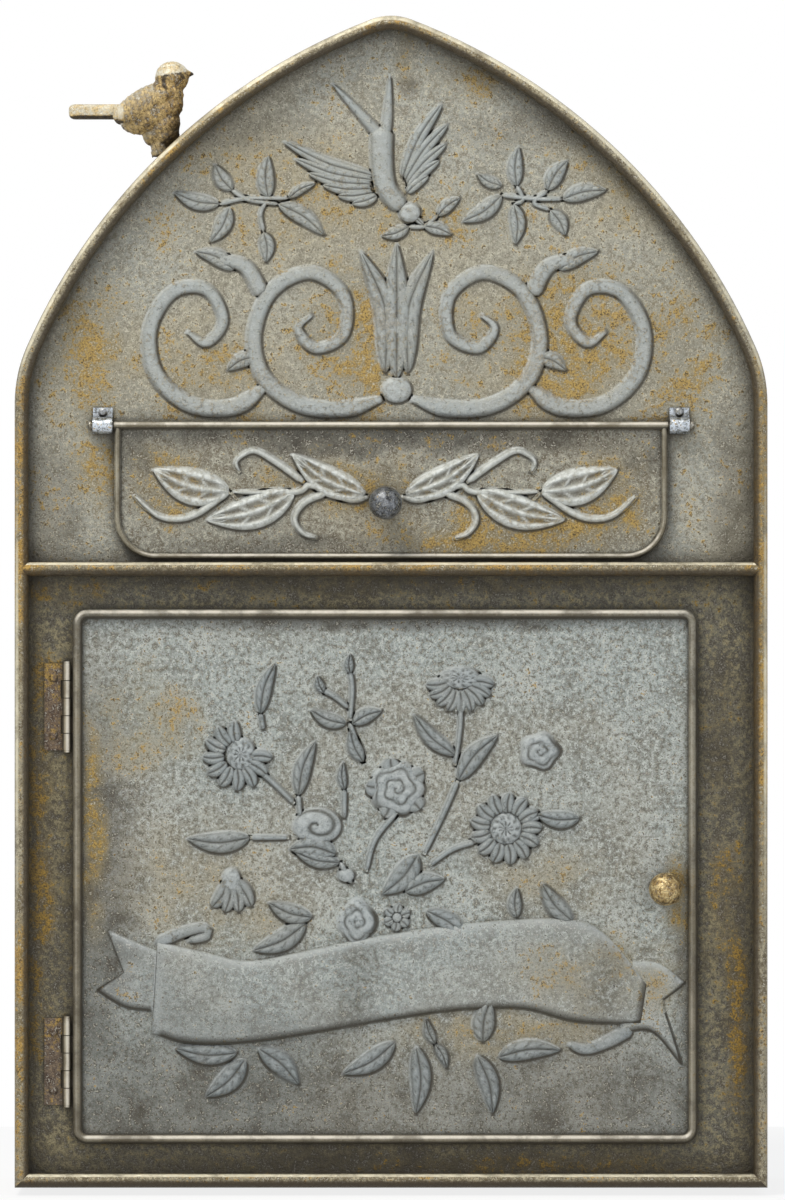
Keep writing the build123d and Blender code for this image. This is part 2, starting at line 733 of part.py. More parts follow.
def hinge_pin(centre_height):
    """Pin with a head at each end of the barrel."""
    with BuildPart() as pin:
        with BuildSketch(level_plane(centre_height)):
            with Locations((hinge_x, -hinge_distance)):
                Circle(pin_radius)
        extrude(amount=hinge_length / 2 + pin_head, both=True)
        for end in (-1, 1):
            low = centre_height + end * (hinge_length + pin_head) / 2 - pin_head / 2
            with BuildSketch(level_plane(low)):
                with Locations((hinge_x, -hinge_distance)):
                    Circle(pin_head_radius)
            extrude(amount=pin_head)
    return pin.part


for name, hinge_height in (("upper", upper_hinge_height), ("lower", lower_hinge_height)):
    save(hinge_leaf(hinge_height, True), f"{name}_hinge_frame_leaf")
    save(hinge_leaf(hinge_height, False), f"{name}_hinge_door_leaf")
    save(hinge_pin(hinge_height), f"{name}_hinge_pin")
leaf_front = front_plane(face_distance + leaf_sheet)
save(rivet_row(frame_rivets, leaf_front, leaf_sheet + sheet), "hinge_rivets")

# Magnet catch: an angle on the turned-back edge of the opening, with a round magnet facing the door
with BuildPart() as catch_bracket:
    with BuildSketch(level_plane(catch_height - catch_width / 2)):
        with BuildLine():
            Polyline(
                (opening_right, -leg_front),
                (opening_right, -angle_front + catch_sheet),
                (angle_end, -angle_front + catch_sheet),
                (angle_end, -angle_front),
                (opening_right - catch_sheet, -angle_front),
                (opening_right - catch_sheet, -leg_front),
                close=True,
            )
        make_face()
    extrude(amount=catch_width)
    rivet_holes(catch_rivets, catch_plane, 2 * catch_sheet)
save(catch_bracket.part, "catch_bracket")

with BuildPart() as catch_magnet:
    with BuildSketch(front_plane(angle_front)):
        with Locations((angle_end + magnet_radius, catch_height)):
            Circle(magnet_radius)
    extrude(amount=magnet_length)
    chamfer(catch_magnet.faces().sort_by(Axis.Y)[0].edges(), length=sheet / 2)
save(catch_magnet.part, "catch_magnet")
catch_head_plane = catch_plane.offset(catch_sheet)
save(rivet_row(catch_rivets, catch_head_plane, catch_sheet + sheet), "catch_rivets")

# Flap: sheet curled round the rod above and rolled round a wire at the sides and below
flap_bottom = rod_height - flap_drop
flap_half = flap_width / 2


def flap_edge(inset, top):
    """Outline of the flap, moved in by inset and cut level at the height top."""
    with BuildSketch() as outline:
        with Locations((0, flap_bottom)):
            Rectangle(flap_width, top - flap_bottom + inset, align=(Align.CENTER, Align.MIN))
        fillet(outline.vertices().group_by(Axis.Y)[0], radius=flap_corner)
        if inset != 0:
            offset(amount=-inset, kind=Kind.INTERSECTION)
    return outline.sketch


def flap_side_line(top):
    """Centre line of the rolled edge, down one side, along the bottom and up to the height top."""
    with BuildSketch(front_plane(flap_back + flap_bead_radius)) as flap_line:
        add(flap_edge(flap_bead_radius, top))
    return Wire(flap_line.sketch.edges().sort_by(Axis.Z)[:-1])


flap_wire_radius = flap_bead_radius - flap_sheet - wire_fit
with BuildPart() as vine_forms:
    for tip, base, width in vine_leaves:
        pressed_leaf(tip, base, width)
    mirror(about=Plane.YZ)
with BuildPart() as vine_ridges:
    for places in vine_stems:
        pressed_stem(places)
    mirror(about=Plane.YZ)
vine_share = flap_width / vine_width
vine_place = Pos(flap_knob_x, rod_height, 0)
with BuildLine(front_plane(rod_distance)) as rod_line:
    Line((-flap_half, rod_height), (flap_half, rod_height))
rod_path = Wire(rod_line.edges())
with BuildPart() as flap_panel:
    with BuildSketch(front_plane(flap_back)):
        add(flap_edge(flap_bead_radius, rod_height))
    extrude(amount=flap_sheet)
    roll_edge(flap_side_line(rod_height - rod_radius), flap_bead_radius, flap_sheet)
    with BuildSketch(Plane(origin=rod_path @ 0, z_dir=rod_path % 0)):
        Circle(flap_curl_radius)
    extrude(amount=flap_width)
    with BuildSketch(Plane(origin=rod_path @ 0, z_dir=rod_path % 0)):
        Circle(rod_radius + wire_fit)
    extrude(amount=flap_width, mode=Mode.SUBTRACT)
    with BuildSketch(front_plane(flap_back)):
        with Locations((flap_knob_x, flap_knob_height)):
            Circle(knob_screw_radius + screw_clearance)
    extrude(amount=flap_sheet, mode=Mode.SUBTRACT)
    # The vine, pressed out of the sheet from behind
    flap_face = front_plane(flap_back + flap_sheet) * vine_place
    add(flap_face * vine_ridges.part.scale(vine_share))
    add(flap_face * vine_forms.part.scale(vine_share))
    hollow = Pos(0, flap_sheet, 0) * (flap_face * vine_forms.part.scale(vine_share))
    add(hollow, mode=Mode.SUBTRACT)
save(flap_panel.part, "flap_panel")

with BuildPart() as flap_edge_wire:
    lay_wire(flap_side_line(rod_height - flap_curl_radius), flap_wire_radius)
save(flap_edge_wire.part, "flap_edge_wire")

rod_half = lug_middle + lug_width / 2 + rod_end
with BuildPart() as flap_rod:
    with BuildSketch(side_plane(rod_half)):
        with Locations((rod_distance, rod_height)):
            Circle(rod_radius)
    extrude(amount=2 * rod_half)
    rod_head = rod_end - running_fit
    for head_start in (rod_half, rod_head - rod_half):
        with BuildSketch(side_plane(head_start)):
            with Locations((rod_distance, rod_height)):
                Circle(rod_head_radius)
        extrude(amount=rod_head)
    rod_ends = flap_rod.edges().sort_by(Axis.X)
    fillet((rod_ends[0], rod_ends[-1]), radius=rod_head_radius / 2)
save(flap_rod.part, "flap_rod")

flap_front = flap_back + flap_sheet
save(ball_knob(flap_knob_x, flap_knob_height, flap_front), "flap_knob")
save(knob_screw(flap_knob_x, flap_knob_height, flap_front, flap_sheet), "flap_knob_screw")
save(knob_washer(flap_knob_x, flap_knob_height, flap_front, flap_sheet), "flap_knob_washer")


def door_outline(inset):
    """Outline of the door, moved in by inset."""
    with BuildSketch() as outline:
        with Locations(((door_left + door_right) / 2, door_middle)):
            RectangleRounded(
                door_width - 2 * inset, door_height - 2 * inset, door_corner - inset
            )
    return outline.sketch


# Bouquet and ribbon on the door, at the size they are drawn for
with BuildPart() as bouquet_forms:
    for tip, base, width in bouquet_leaves:
        pressed_leaf(tip, base, width)
    for middle, eye, inner, outer, width, count, start, spread in daisies:
        pressed_petals(middle, inner, outer, width, count, start, spread)
        pressed_boss(middle, eye)
    for middle, radius in roses:
        pressed_boss(middle, radius)
    with BuildSketch() as ribbon:
        with BuildLine():
            for foot_end, top_end in zip(ribbon_edge(ribbon_foot), ribbon_edge(ribbon_top)):
                Line(foot_end, top_end)
        make_face()
    extrude(ribbon.sketch, amount=press_rise, taper=press_slope)
    for corners in ribbon_tails:
        with BuildSketch() as tail:
            with BuildLine():
                Polyline(*corners, close=True)
            make_face()
        extrude(tail.sketch, amount=press_rise, taper=press_slope)
with BuildPart() as bouquet_ridges:
    for places in bouquet_stems:
        pressed_stem(places)
bouquet_share = min(door_width / bouquet_width, door_height / bouquet_height)
bouquet_place = Pos((door_left + door_right) / 2, door_middle, 0)

# Door: sheet with its edge rolled forward round a wire
with BuildSketch(front_plane(door_back + door_bead_radius)) as door_line:
    add(door_outline(door_bead_radius))
door_path = Wire(door_line.sketch.edges())
with BuildPart() as door_panel:
    with BuildSketch(front_plane(door_back)):
        add(door_outline(door_bead_radius))
    extrude(amount=door_sheet)
    roll_edge(door_path, door_bead_radius, door_sheet)
    with BuildSketch(front_plane(door_back)):
        with Locations((door_knob_x, door_knob_height)):
            Circle(knob_screw_radius + screw_clearance)
    extrude(amount=door_sheet, mode=Mode.SUBTRACT)
    # The bouquet, pressed out of the sheet from behind
    door_face = front_plane(door_back + door_sheet) * bouquet_place
    add(door_face * bouquet_ridges.part.scale(bouquet_share))
    add(door_face * bouquet_forms.part.scale(bouquet_share))
    hollow = Pos(0, door_sheet, 0) * (door_face * bouquet_forms.part.scale(bouquet_share))
    add(hollow, mode=Mode.SUBTRACT)
save(door_panel.part, "door_panel")

with BuildPart() as door_edge_wire:
    lay_wire(door_path, door_bead_radius - door_sheet - wire_fit)
save(door_edge_wire.part, "door_edge_wire")

door_front = door_back + door_sheet
save(ball_knob(door_knob_x, door_knob_height, door_front), "door_knob")
save(knob_screw(door_knob_x, door_knob_height, door_front, door_sheet), "door_knob_screw")
save(knob_washer(door_knob_x, door_knob_height, door_front, door_sheet), "door_knob_washer")


# Cast bird: body, head, beak, wings and a flat tail, seated on the side band by a short stem
bird_middle = Plane(origin=seat_point, x_dir=(1, 0, 0), z_dir=(0, -1, 0))


def bird_point(front, rise):
    """Point of the bird's middle plane, from its seat."""
    return bird_middle.from_local_coords(Vector(front, rise, 0))


def plump_body(swell):
    """Adds the egg-shaped body, grown all round by swell."""
    breast_end = body_front + swell
    rump_end = body_front - body_length - swell
    with BuildSketch(bird_middle) as half_body:
        with BuildLine():
            Spline(
                (breast_end, body_rise),
                (body_front - fullest, body_rise + body_radius + swell),
                (rump_end, body_rise),
                tangents=[(0, 1), (-1, -1)],
            )
            Line((rump_end, body_rise), (breast_end, body_rise))
        make_face()
    revolve(half_body.sketch, axis=Axis(bird_point(0, body_rise), (1, 0, 0)))


def limb(start, start_radius, end, end_radius):
    """Adds a cone between two points."""
    with Locations(Plane(origin=start, z_dir=end - start)):
        upward = (Align.CENTER, Align.CENTER, Align.MIN)
        Cone(start_radius, end_radius, (end - start).length, align=upward)


wing_end = wing_front - wing_length
with BuildPart() as folded_wings:
    plump_body(wing_relief)
    with BuildSketch(bird_middle):
        with BuildLine():
            shoulder = (wing_front, wing_rise)
            wing_tip = (wing_end, body_rise)
            wing_middle = (wing_front + wing_end) / 2
            ThreePointArc(shoulder, (wing_middle, wing_rise + wing_bow), wing_tip)
            ThreePointArc(wing_tip, (wing_middle, body_rise - wing_bow), shoulder)
        make_face()
    extrude(amount=2 * body_radius, both=True, mode=Mode.INTERSECT)
body_middle = bird_point(body_front - fullest, body_rise)
neck_low = bird_point(body_front - fullest + neck_front, body_rise)
head = bird_point(head_front, head_rise)
rump = bird_point(body_front - body_length + tail_depth, body_rise)
beak_root = bird_point(head_front + head_radius - beak_radius / 2, head_rise)
with BuildPart() as bird_figure:
    plump_body(0)
    limb(neck_low, neck_radius_low, head, neck_radius_high)
    with Locations(head):
        Sphere(head_radius)
    limb(bird_plane.origin, stem_radius, body_middle, thigh_radius)
    add(folded_wings.part)
    limb(beak_root, beak_radius, beak_root + Vector(beak_length, 0, 0), beak_radius / 4)
    with Locations(rump):
        Box(tail_length, tail_width, tail_depth, align=(Align.MAX, Align.CENTER, Align.CENTER))
    fillet(bird_figure.faces().sort_by(Axis.X)[0].edges(), radius=tail_depth / 3)
    with BuildSketch(front_plane(0)):
        add(case_outline(0, 0))
    extrude(amount=box_depth, mode=Mode.SUBTRACT)
    with BuildSketch(bird_plane):
        Circle(bird_screw_radius + screw_fit)
    extrude(amount=bird_screw_depth, mode=Mode.SUBTRACT)
save(bird_figure.part, "bird_figure")

with BuildPart() as bird_screw:
    under_head = bird_plane.offset(-2 * sheet - wire_fit)
    with BuildSketch(under_head):
        Circle(bird_screw_radius)
    extrude(amount=2 * sheet + bird_screw_depth)
    with BuildSketch(under_head):
        Circle(screw_head_radius)
    extrude(amount=-screw_head)
save(bird_screw.part, "bird_screw")
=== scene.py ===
import bmesh
import bpy
from math import cos, hypot, pi, radians, sin
from mathutils import Matrix, Vector


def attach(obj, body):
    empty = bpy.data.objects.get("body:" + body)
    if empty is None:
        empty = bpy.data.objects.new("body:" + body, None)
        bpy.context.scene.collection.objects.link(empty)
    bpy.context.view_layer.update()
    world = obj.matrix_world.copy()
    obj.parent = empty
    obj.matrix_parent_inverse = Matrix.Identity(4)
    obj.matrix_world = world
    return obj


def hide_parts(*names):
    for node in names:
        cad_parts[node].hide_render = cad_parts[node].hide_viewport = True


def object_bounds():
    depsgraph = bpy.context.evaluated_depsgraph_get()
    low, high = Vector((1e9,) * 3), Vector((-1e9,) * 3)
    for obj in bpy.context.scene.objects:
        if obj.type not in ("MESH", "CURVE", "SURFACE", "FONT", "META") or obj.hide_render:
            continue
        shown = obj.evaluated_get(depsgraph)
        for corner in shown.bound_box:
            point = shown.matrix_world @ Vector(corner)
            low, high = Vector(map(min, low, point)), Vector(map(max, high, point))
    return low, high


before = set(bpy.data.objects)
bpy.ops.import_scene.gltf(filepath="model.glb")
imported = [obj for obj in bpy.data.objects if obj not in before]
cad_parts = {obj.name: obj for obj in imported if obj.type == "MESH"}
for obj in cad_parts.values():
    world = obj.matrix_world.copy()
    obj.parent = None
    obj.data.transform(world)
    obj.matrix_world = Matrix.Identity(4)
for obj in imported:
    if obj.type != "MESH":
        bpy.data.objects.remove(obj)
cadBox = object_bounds()
print("frame loaded")

# Places on the sheets are in millimetres, as the part's source has them: x to the right, distance
# from the wall and height above the case's bottom edge. The scene itself is in metres.
baseHeight = -175.0
faceFront = 86.0
doorFront = 87.5
flapFront = 88.1


def place(x, distance, height):
    return Vector((x, -distance, height + baseHeight)) / 1000


def colour(code):
    channels = [int(code[i:i + 2], 16) / 255 for i in (1, 3, 5)]
    linear = [c / 12.92 if c <= 0.04045 else ((c + 0.055) / 1.055) ** 2.4 for c in channels]
    return (*linear, 1.0)


# Adds one shader node with its settings, and links or sets its sockets
def addNode(tree, kind, values=None, **settings):
    node = tree.nodes.new("ShaderNode" + kind)
    for key, value in settings.items():
        setattr(node, key, value)
    for socket, value in (values or {}).items():
        if isinstance(value, bpy.types.NodeSocket):
            tree.links.new(value, node.inputs[socket])
        else:
            node.inputs[socket].default_value = value
    return node


def startMaterial(name):
    material = bpy.data.materials.new(name)
    material.use_nodes = True
    tree = material.node_tree
    tree.nodes.clear()
    return material, tree


def product(tree, factors):
    share = factors[0]
    for factor in factors[1:]:
        share = addNode(tree, "Math", {0: share, 1: factor}, operation="MULTIPLY").outputs[0]
    return share


# Adds fields up, each times its own weight
def weighed(tree, parts, start=0.0):
    total = start
    for field, weight in parts:
        values = {0: field, 1: weight, 2: total}
        total = addNode(tree, "Math", values, operation="MULTIPLY_ADD").outputs[0]
    return total


zoneSettings = {
    "cell": 16.67,  # millimetres, size of the wobble along a zone's edge
    "ragged": 22.0,  # millimetres, most that the edge strays
    "core": 0.2, "end": 1.1}  # full strength inside the core, none past the end, as shares of its size


# Strength of the nearest zone, each an ellipse of x, height, half width, half height and strength
def zoneMask(tree, spot, zones):
    values = {"Vector": spot, "Scale": 1000 / zoneSettings["cell"], "Detail": 4.0}
    wobble = addNode(tree, "TexNoise", values).outputs["Color"]
    shake = addNode(tree, "VectorMath", {0: wobble, 1: (0.5, 0.5, 0.5)}, operation="SUBTRACT").outputs[0]
    strongest = 0.0
    for x, height, wide, tall, strength in zones:
        ragged = min(zoneSettings["ragged"], 2 * min(wide, tall)) / 1000
        moved = addNode(tree, "VectorMath", {0: shake, 1: (ragged, ragged, ragged), 2: spot},
                        operation="MULTIPLY_ADD").outputs[0]
        away = addNode(tree, "VectorMath", {0: moved, 1: place(x, 0, height)},
                       operation="SUBTRACT").outputs[0]
        unit = addNode(tree, "VectorMath", {0: away, 1: (1000 / wide, 0, 1000 / tall)},
                       operation="MULTIPLY").outputs[0]
        reach = addNode(tree, "VectorMath", {0: unit}, operation="LENGTH").outputs["Value"]
        values = {"Value": reach, "From Min": zoneSettings["core"], "From Max": zoneSettings["end"],
                  "To Min": strength, "To Max": 0.0}
        mask = addNode(tree, "MapRange", values, interpolation_type="SMOOTHSTEP").outputs["Result"]
        strongest = addNode(tree, "Math", {0: strongest, 1: mask}, operation="MAXIMUM").outputs[0]
    return strongest


# Cell size of each noise in millimetres, then detail, roughness and distortion. Real crystals of
# zinc and rust pits are finer than "grain" and "fine", which are as coarse as they need to show.
noises = {
    "clouds": (62.5, 3.0, 0.5, 0.4), "blotches": (14.29, 6.0, 0.66, 0.3),
    "grain": (2.083, 4.0, 0.72, 0.0), "fine": (0.5882, 2.0, 0.7, 0.0)}
patinaSettings = {
    "rustBlotch": 0.7, "rustLevel": -0.5, "zoneRust": 0.17,  # what the rust's field is made of
    "beadShare": 0.75,  # how far a rolled bead takes its own tones
    "roughSpread": 0.12, "cornerShadeFrom": 0.35,
    "bump": [("blotches", 0.9), ("grain", 0.55), ("fine", 0.25), ("rust", 0.06)],
    "bumpHeight": 0.0011}  # metres


# How squarely the surface faces the side the light comes from, for a painted highlight there and
# painted shade away from it; on the rim outwards too, for a painted reflection of the bright surroundings
def turnedField(tree, coordinates, looks):
    normal = coordinates.outputs["Normal"]
    turned = addNode(tree, "VectorMath", {0: normal, 1: looks["highlightAim"]},
                     operation="DOT_PRODUCT").outputs["Value"]
    if "outward" in looks:
        flat = addNode(tree, "VectorMath", {0: coordinates.outputs["Object"], 1: (1, 0, 1)},
                       operation="MULTIPLY").outputs[0]
        away = addNode(tree, "VectorMath", {0: flat}, operation="NORMALIZE").outputs[0]
        out = addNode(tree, "VectorMath", {0: normal, 1: away}, operation="DOT_PRODUCT").outputs["Value"]
        turned = weighed(tree, [(out, looks["outward"])], turned)
    return turned


# Weathered metal: mottled tones, grain, rust specks, pits, painted shade in its corners from occlusion,
# rubbed crowns. Pressed forms say with attributes where their body, their grime with painted shade, and
# their crowns with painted highlights are.
def patina(name, looks):
    material, tree = startMaterial(name)
    coordinates = addNode(tree, "TexCoord")
    spot = coordinates.outputs["Object"]
    fields = {}
    for key, (cell, detail, roughness, distortion) in noises.items():
        values = {"Vector": spot, "Scale": 1000 / cell, "Detail": detail, "Roughness": roughness,
                  "Distortion": distortion}
        fields[key] = addNode(tree, "TexNoise", values).outputs["Fac"]
    for key in ("body", "grimeAndShade", "crownAndHighlight"):
        fields[key] = addNode(tree, "Attribute", attribute_name=key).outputs["Fac"]
    for key in ("coolZones", "darkZones", "rustZones"):
        if key in looks:
            fields[key] = zoneMask(tree, spot, looks[key])
    rustParts = [(fields["grain"], 1.0), (fields["blotches"], patinaSettings["rustBlotch"])]
    if "rustZones" in looks:
        rustParts.append((fields["rustZones"], patinaSettings["zoneRust"]))
    fields["rustField"] = weighed(tree, rustParts, looks["rust"] + patinaSettings["rustLevel"])
    # Occlusion darkens corners and recesses: painted shade
    corner = addNode(tree, "AmbientOcclusion", {"Distance": looks["cornerShadeReach"]}, samples=8)
    fields["corner"] = corner.outputs["AO"]

    ramps = {  # field, its value at the start and the end, share at the start and the end
        "cool": ("clouds", 0.36, 0.62, 0.0, 1.0),
        "paleBlotch": ("blotches", 0.48, 0.70, 0.0, 0.75),
        "darkBlotch": ("blotches", 0.52, 0.32, 0.0, 0.7),
        "paleGrain": ("grain", 0.50, 0.58, 0.0, looks["mottle"]),
        "darkGrain": ("grain", 0.50, 0.42, 0.0, looks["mottle"]),
        "gloomBreak": ("blotches", 0.25, 0.6, 1.0, 0.6),
        "stainBreak": ("blotches", 0.35, 0.62, 0.1, looks["stain"]),
        "rust": ("rustField", 0.50, 0.58, 0.0, 1.0),
        "rustShade": ("fine", 0.40, 0.62, 0.0, 1.0),
        "pitGrain": ("grain", 0.50, 0.62, 0.0, 1.0),
        "pitFine": ("fine", 0.48, 0.60, 0.0, 1.0),
        "speckGrain": ("grain", 0.50, 0.40, 0.0, 1.0),
        "speckFine": ("fine", 0.50, 0.40, 0.0, 1.0),
        "formBreak": ("blotches", 0.3, 0.6, 0.55, 1.0),
        "cornerShade": ("corner", looks["cornerShadeEnd"], patinaSettings["cornerShadeFrom"], 0.0, looks["corners"]),
        "cornerShadeBreak": ("blotches", 0.2, 0.6, 0.7, 1.0),
        "edgeBreak": ("blotches", 0.2, 0.55, 0.75, 1.0),
        "crownBreak": ("grain", 0.62, 0.4, 0.25, 1.0),
        "rough": ("grain", 0.3, 0.7, looks["rough"] - patinaSettings["roughSpread"],
                  looks["rough"] + patinaSettings["roughSpread"])}
    onBead = []
    if "bead" in looks:
        fields["depth"] = addNode(tree, "SeparateXYZ", {0: spot}).outputs[1]
        ramps["bead"] = ("depth", -looks["bead"][0], -looks["bead"][1], 0.0, 1.0)
        ramps["beadShade"] = ("blotches", 0.4, 0.6, 0.0, 1.0)
        onBead = ["bead"]
    # Where the surface faces the light it gets a painted highlight, where it turns away painted shade
    if "highlightAim" in looks:
        fields["turned"] = turnedField(tree, coordinates, looks)
        ramps["worn"] = ("turned", looks["highlightFrom"], 0.99, 0.0, 1.0)
        ramps["wornBreak"] = ("blotches", 0.34, 0.56, 0.3, 1.0)
        ramps["dull"] = ("turned", 0.82, 0.35, 0.0, 0.85)
    shares = dict(fields)
    for key, (field, low, high, start, end) in ramps.items():
        values = {"Value": fields[field], "From Min": low, "From Max": high, "To Min": start, "To Max": end}
        shares[key] = addNode(tree, "MapRange", values, interpolation_type="SMOOTHSTEP").outputs["Result"]
    cornerShaded = product(tree, [shares["cornerShade"], shares["cornerShadeBreak"]])
    edged = product(tree, [shares["grimeAndShade"], shares["edgeBreak"]])
    shares["dirt"] = addNode(tree, "Math", {0: cornerShaded, 1: edged}, operation="MAXIMUM").outputs[0]

    tones = {key: colour(code) for key, code in looks.items() if isinstance(code, str)}
    for key, shade in (("rustTones", "rustShade"), ("beadTones", "beadShade")):
        if key in looks:
            values = {0: shares[shade], 6: colour(looks[key][0]), 7: colour(looks[key][1])}
            tones[key] = addNode(tree, "Mix", values, data_type="RGBA").outputs[2]

    # From the bottom up: a tone and the shares whose product says how far it covers
    layers = [
        ("cool", ["cool"]), ("cool", ["coolZones"]), ("pale", ["paleBlotch"]), ("dark", ["darkBlotch"]),
        ("pale", ["paleGrain"]), ("dark", ["darkGrain"]), ("gloom", ["darkZones", "gloomBreak"]),
        ("stainTone", ["rustZones", "stainBreak"]), ("rustTones", ["rust", looks["rustDepth"]]),
        ("pitTone", ["pitGrain", "pitFine", looks["pits"]]),
        ("speckTone", ["speckGrain", "speckFine", looks["specks"]]),
        ("formTone", ["body", "formBreak", looks["formShare"]]),
        # On beads, the dark away from the light is painted shade and the pale towards it a painted
        # highlight; the last dark layer is grime with painted shade from occlusion, the bright one wear
        # with painted highlights
        ("beadTones", ["bead", patinaSettings["beadShare"]]), ("grimeAndShadeTone", ["dull", *onBead]),
        ("wornTone", ["worn", "wornBreak", *onBead]), ("grimeAndShadeTone", ["dirt"]),
        ("bright", ["crownAndHighlight", "crownBreak", looks["rubAndHighlight"]])]
    tone = tones["warm"]
    for over, factors in layers:
        if all(factor in shares for factor in factors if isinstance(factor, str)):
            share = product(tree, [shares.get(factor, factor) for factor in factors])
            values = {0: share, 6: tone, 7: tones[over]}
            tone = addNode(tree, "Mix", values, data_type="RGBA").outputs[2]

    relief = weighed(tree, [(shares[key], weight) for key, weight in patinaSettings["bump"]])
    bump = addNode(tree, "Bump", {"Height": relief, "Strength": looks["bump"],
                                  "Distance": patinaSettings["bumpHeight"]})
    surface = addNode(tree, "BsdfPrincipled", {
        "Base Color": tone, "Roughness": shares["rough"], "Metallic": looks["metal"],
        "Normal": bump.outputs["Normal"]})
    addNode(tree, "OutputMaterial", {"Surface": surface.outputs[0]})
    return material


# Galvanised sheet steel, hot dipped and long outdoors: a mottled grey, half matt, dark in its grain
zincLooks = {
    "warm": "#8f8a78", "cool": "#8d9593", "pale": "#b1af9f", "dark": "#6a6556", "gloom": "#453e30",
    "pits": 0.85, "specks": 0.55, "mottle": 0.95, "rust": 0.0, "rustDepth": 0.8, "stain": 0.75,
    "pitTone": "#403829", "speckTone": "#cfccbd", "stainTone": "#8f7c46",
    "rustTones": ("#b39446", "#8b6e33"), "highlightFrom": 0.82,
    "grimeAndShadeTone": "#352f23", "corners": 0.92, "cornerShadeReach": 0.011, "cornerShadeEnd": 0.94,
    "bright": "#cbc9bc", "rubAndHighlight": 0.7, "rough": 0.58, "bump": 0.8, "metal": 0.25,
    "formTone": "#8d9290", "formShare": 0.45}

# Face, galvanised sheet: warm grey speckled with ochre, browner towards the rim, with painted shade
# beside the rim and a painted shadow under its top arc
faceLooks = {
    **zincLooks, "warm": "#a19c88", "cool": "#9a9d95", "pale": "#bcb8a6", "dark": "#7b7665",
    "rust": 0.042, "formTone": "#879295", "formShare": 0.65, "bright": "#c6cbca", "rubAndHighlight": 0.65,
    "rustZones": [(5, 406, 5, 16, 1.0), (-108, 296, 26, 34, 0.75), (-62, 285, 44, 28, 0.6),
                  (-12, 300, 28, 40, 0.85), (30, 300, 22, 30, 0.45), (62, 300, 34, 40, 0.95),
                  (100, 296, 26, 40, 0.7), (-40, 352, 60, 30, 0.4), (0, 345, 60, 14, 0.5),
                  (85, 362, 30, 24, 0.4), (-104, 256, 14, 18, 0.8), (30, 395, 26, 10, 0.4)],
    "coolZones": [(95, 318, 30, 30, 0.7), (-70, 266, 50, 20, 0.7), (40, 352, 24, 14, 0.5)],
    # Of the dark zones, those by the rim's sides are painted shade and those under the top arc a painted
    # shadow of the rim
    "darkZones": [(6, 392.5, 5, 4.5, 1.0), (-120, 240, 14, 40, 0.6), (124, 245, 12, 50, 0.7),
                  (60, 376, 50, 9, 0.5), (-60, 376, 50, 9, 0.35)]}
faceZinc = patina("face_zinc_speckled_with_ochre", faceLooks)
# Letter flap, galvanised sheet: darker and warmer, ochre low on its right, its vine pale and rubbed,
# with painted highlights; a painted shadow under the rod, a painted highlight and painted shade on its bead
flapLooks = {
    **zincLooks, "warm": "#8b8470", "cool": "#88887e", "dark": "#635b49", "rust": 0.03,
    "gloom": "#2b2720", "formTone": "#b0b4ae", "formShare": 0.75, "bright": "#dadeda", "rubAndHighlight": 0.85,
    "rustZones": [(45, 234, 60, 12, 1.0), (-80, 250, 18, 18, 0.8), (80, 246, 18, 22, 0.85),
                  (-20, 250, 40, 12, 0.6)],
    # Of the dark zones, the long band along the top is a painted shadow under the rod
    "darkZones": [(-92, 262, 14, 12, 0.7), (92, 262, 12, 12, 0.7), (0, 267, 125, 8, 1.0),
                  (-30, 229, 60, 5, 0.6)]}
flapVineZinc = patina("flap_vine_zinc", flapLooks)
flapZinc = patina("flap_zinc_with_brown_wear", {
    **flapLooks, "bead": (0.0893, 0.0897), "beadTones": ("#6a614b", "#8c8672"),
    "highlightAim": (-0.25, -0.83, 0.50), "wornTone": "#d8d2c5"})
# Door, galvanised sheet: blue-grey above, darker and browner low down, ochre down its left edge,
# a painted shadow under its top bead, and a painted highlight and painted shade on its bead
doorLooks = {
    **zincLooks, "warm": "#97968a", "cool": "#959e9b", "pale": "#bcc0ba", "dark": "#66655b",
    "gloom": "#3a3326", "rust": 0.0, "formTone": "#687275", "formShare": 0.7, "rubAndHighlight": 0.7,
    "bright": "#c2c8c8",
    "coolZones": [(-60, 180, 60, 30, 0.9), (60, 185, 60, 24, 0.9), (0, 190, 90, 16, 0.9),
                  (60, 140, 30, 30, 0.6)],
    # Of the dark zones, the narrow one under the top bead is a painted shadow
    "darkZones": [(-60, 26, 130, 46, 0.9), (70, 26, 110, 42, 0.8), (-106, 90, 22, 120, 0.95),
                  (0, 202, 110, 5, 0.9), (106, 60, 7, 60, 0.7), (-85, 60, 36, 24, 0.5)],
    "rustZones": [(-107, 130, 7, 52, 1.0), (-88, 165, 26, 28, 0.55), (75, 76, 44, 18, 0.7),
                  (-70, 110, 34, 30, 0.4), (104, 104, 8, 30, 0.9), (40, 55, 50, 10, 0.6),
                  (-60, 95, 40, 16, 0.45), (60, 110, 30, 16, 0.4)]}
doorBouquetZinc = patina("door_bouquet_zinc", doorLooks)
doorZinc = patina("door_zinc_blue_grey", {
    **doorLooks, "bead": (0.0888, 0.0893), "beadTones": ("#5c5340", "#7d745e"),
    "highlightAim": (-0.25, -0.83, 0.50), "wornTone": "#dad4c6"})
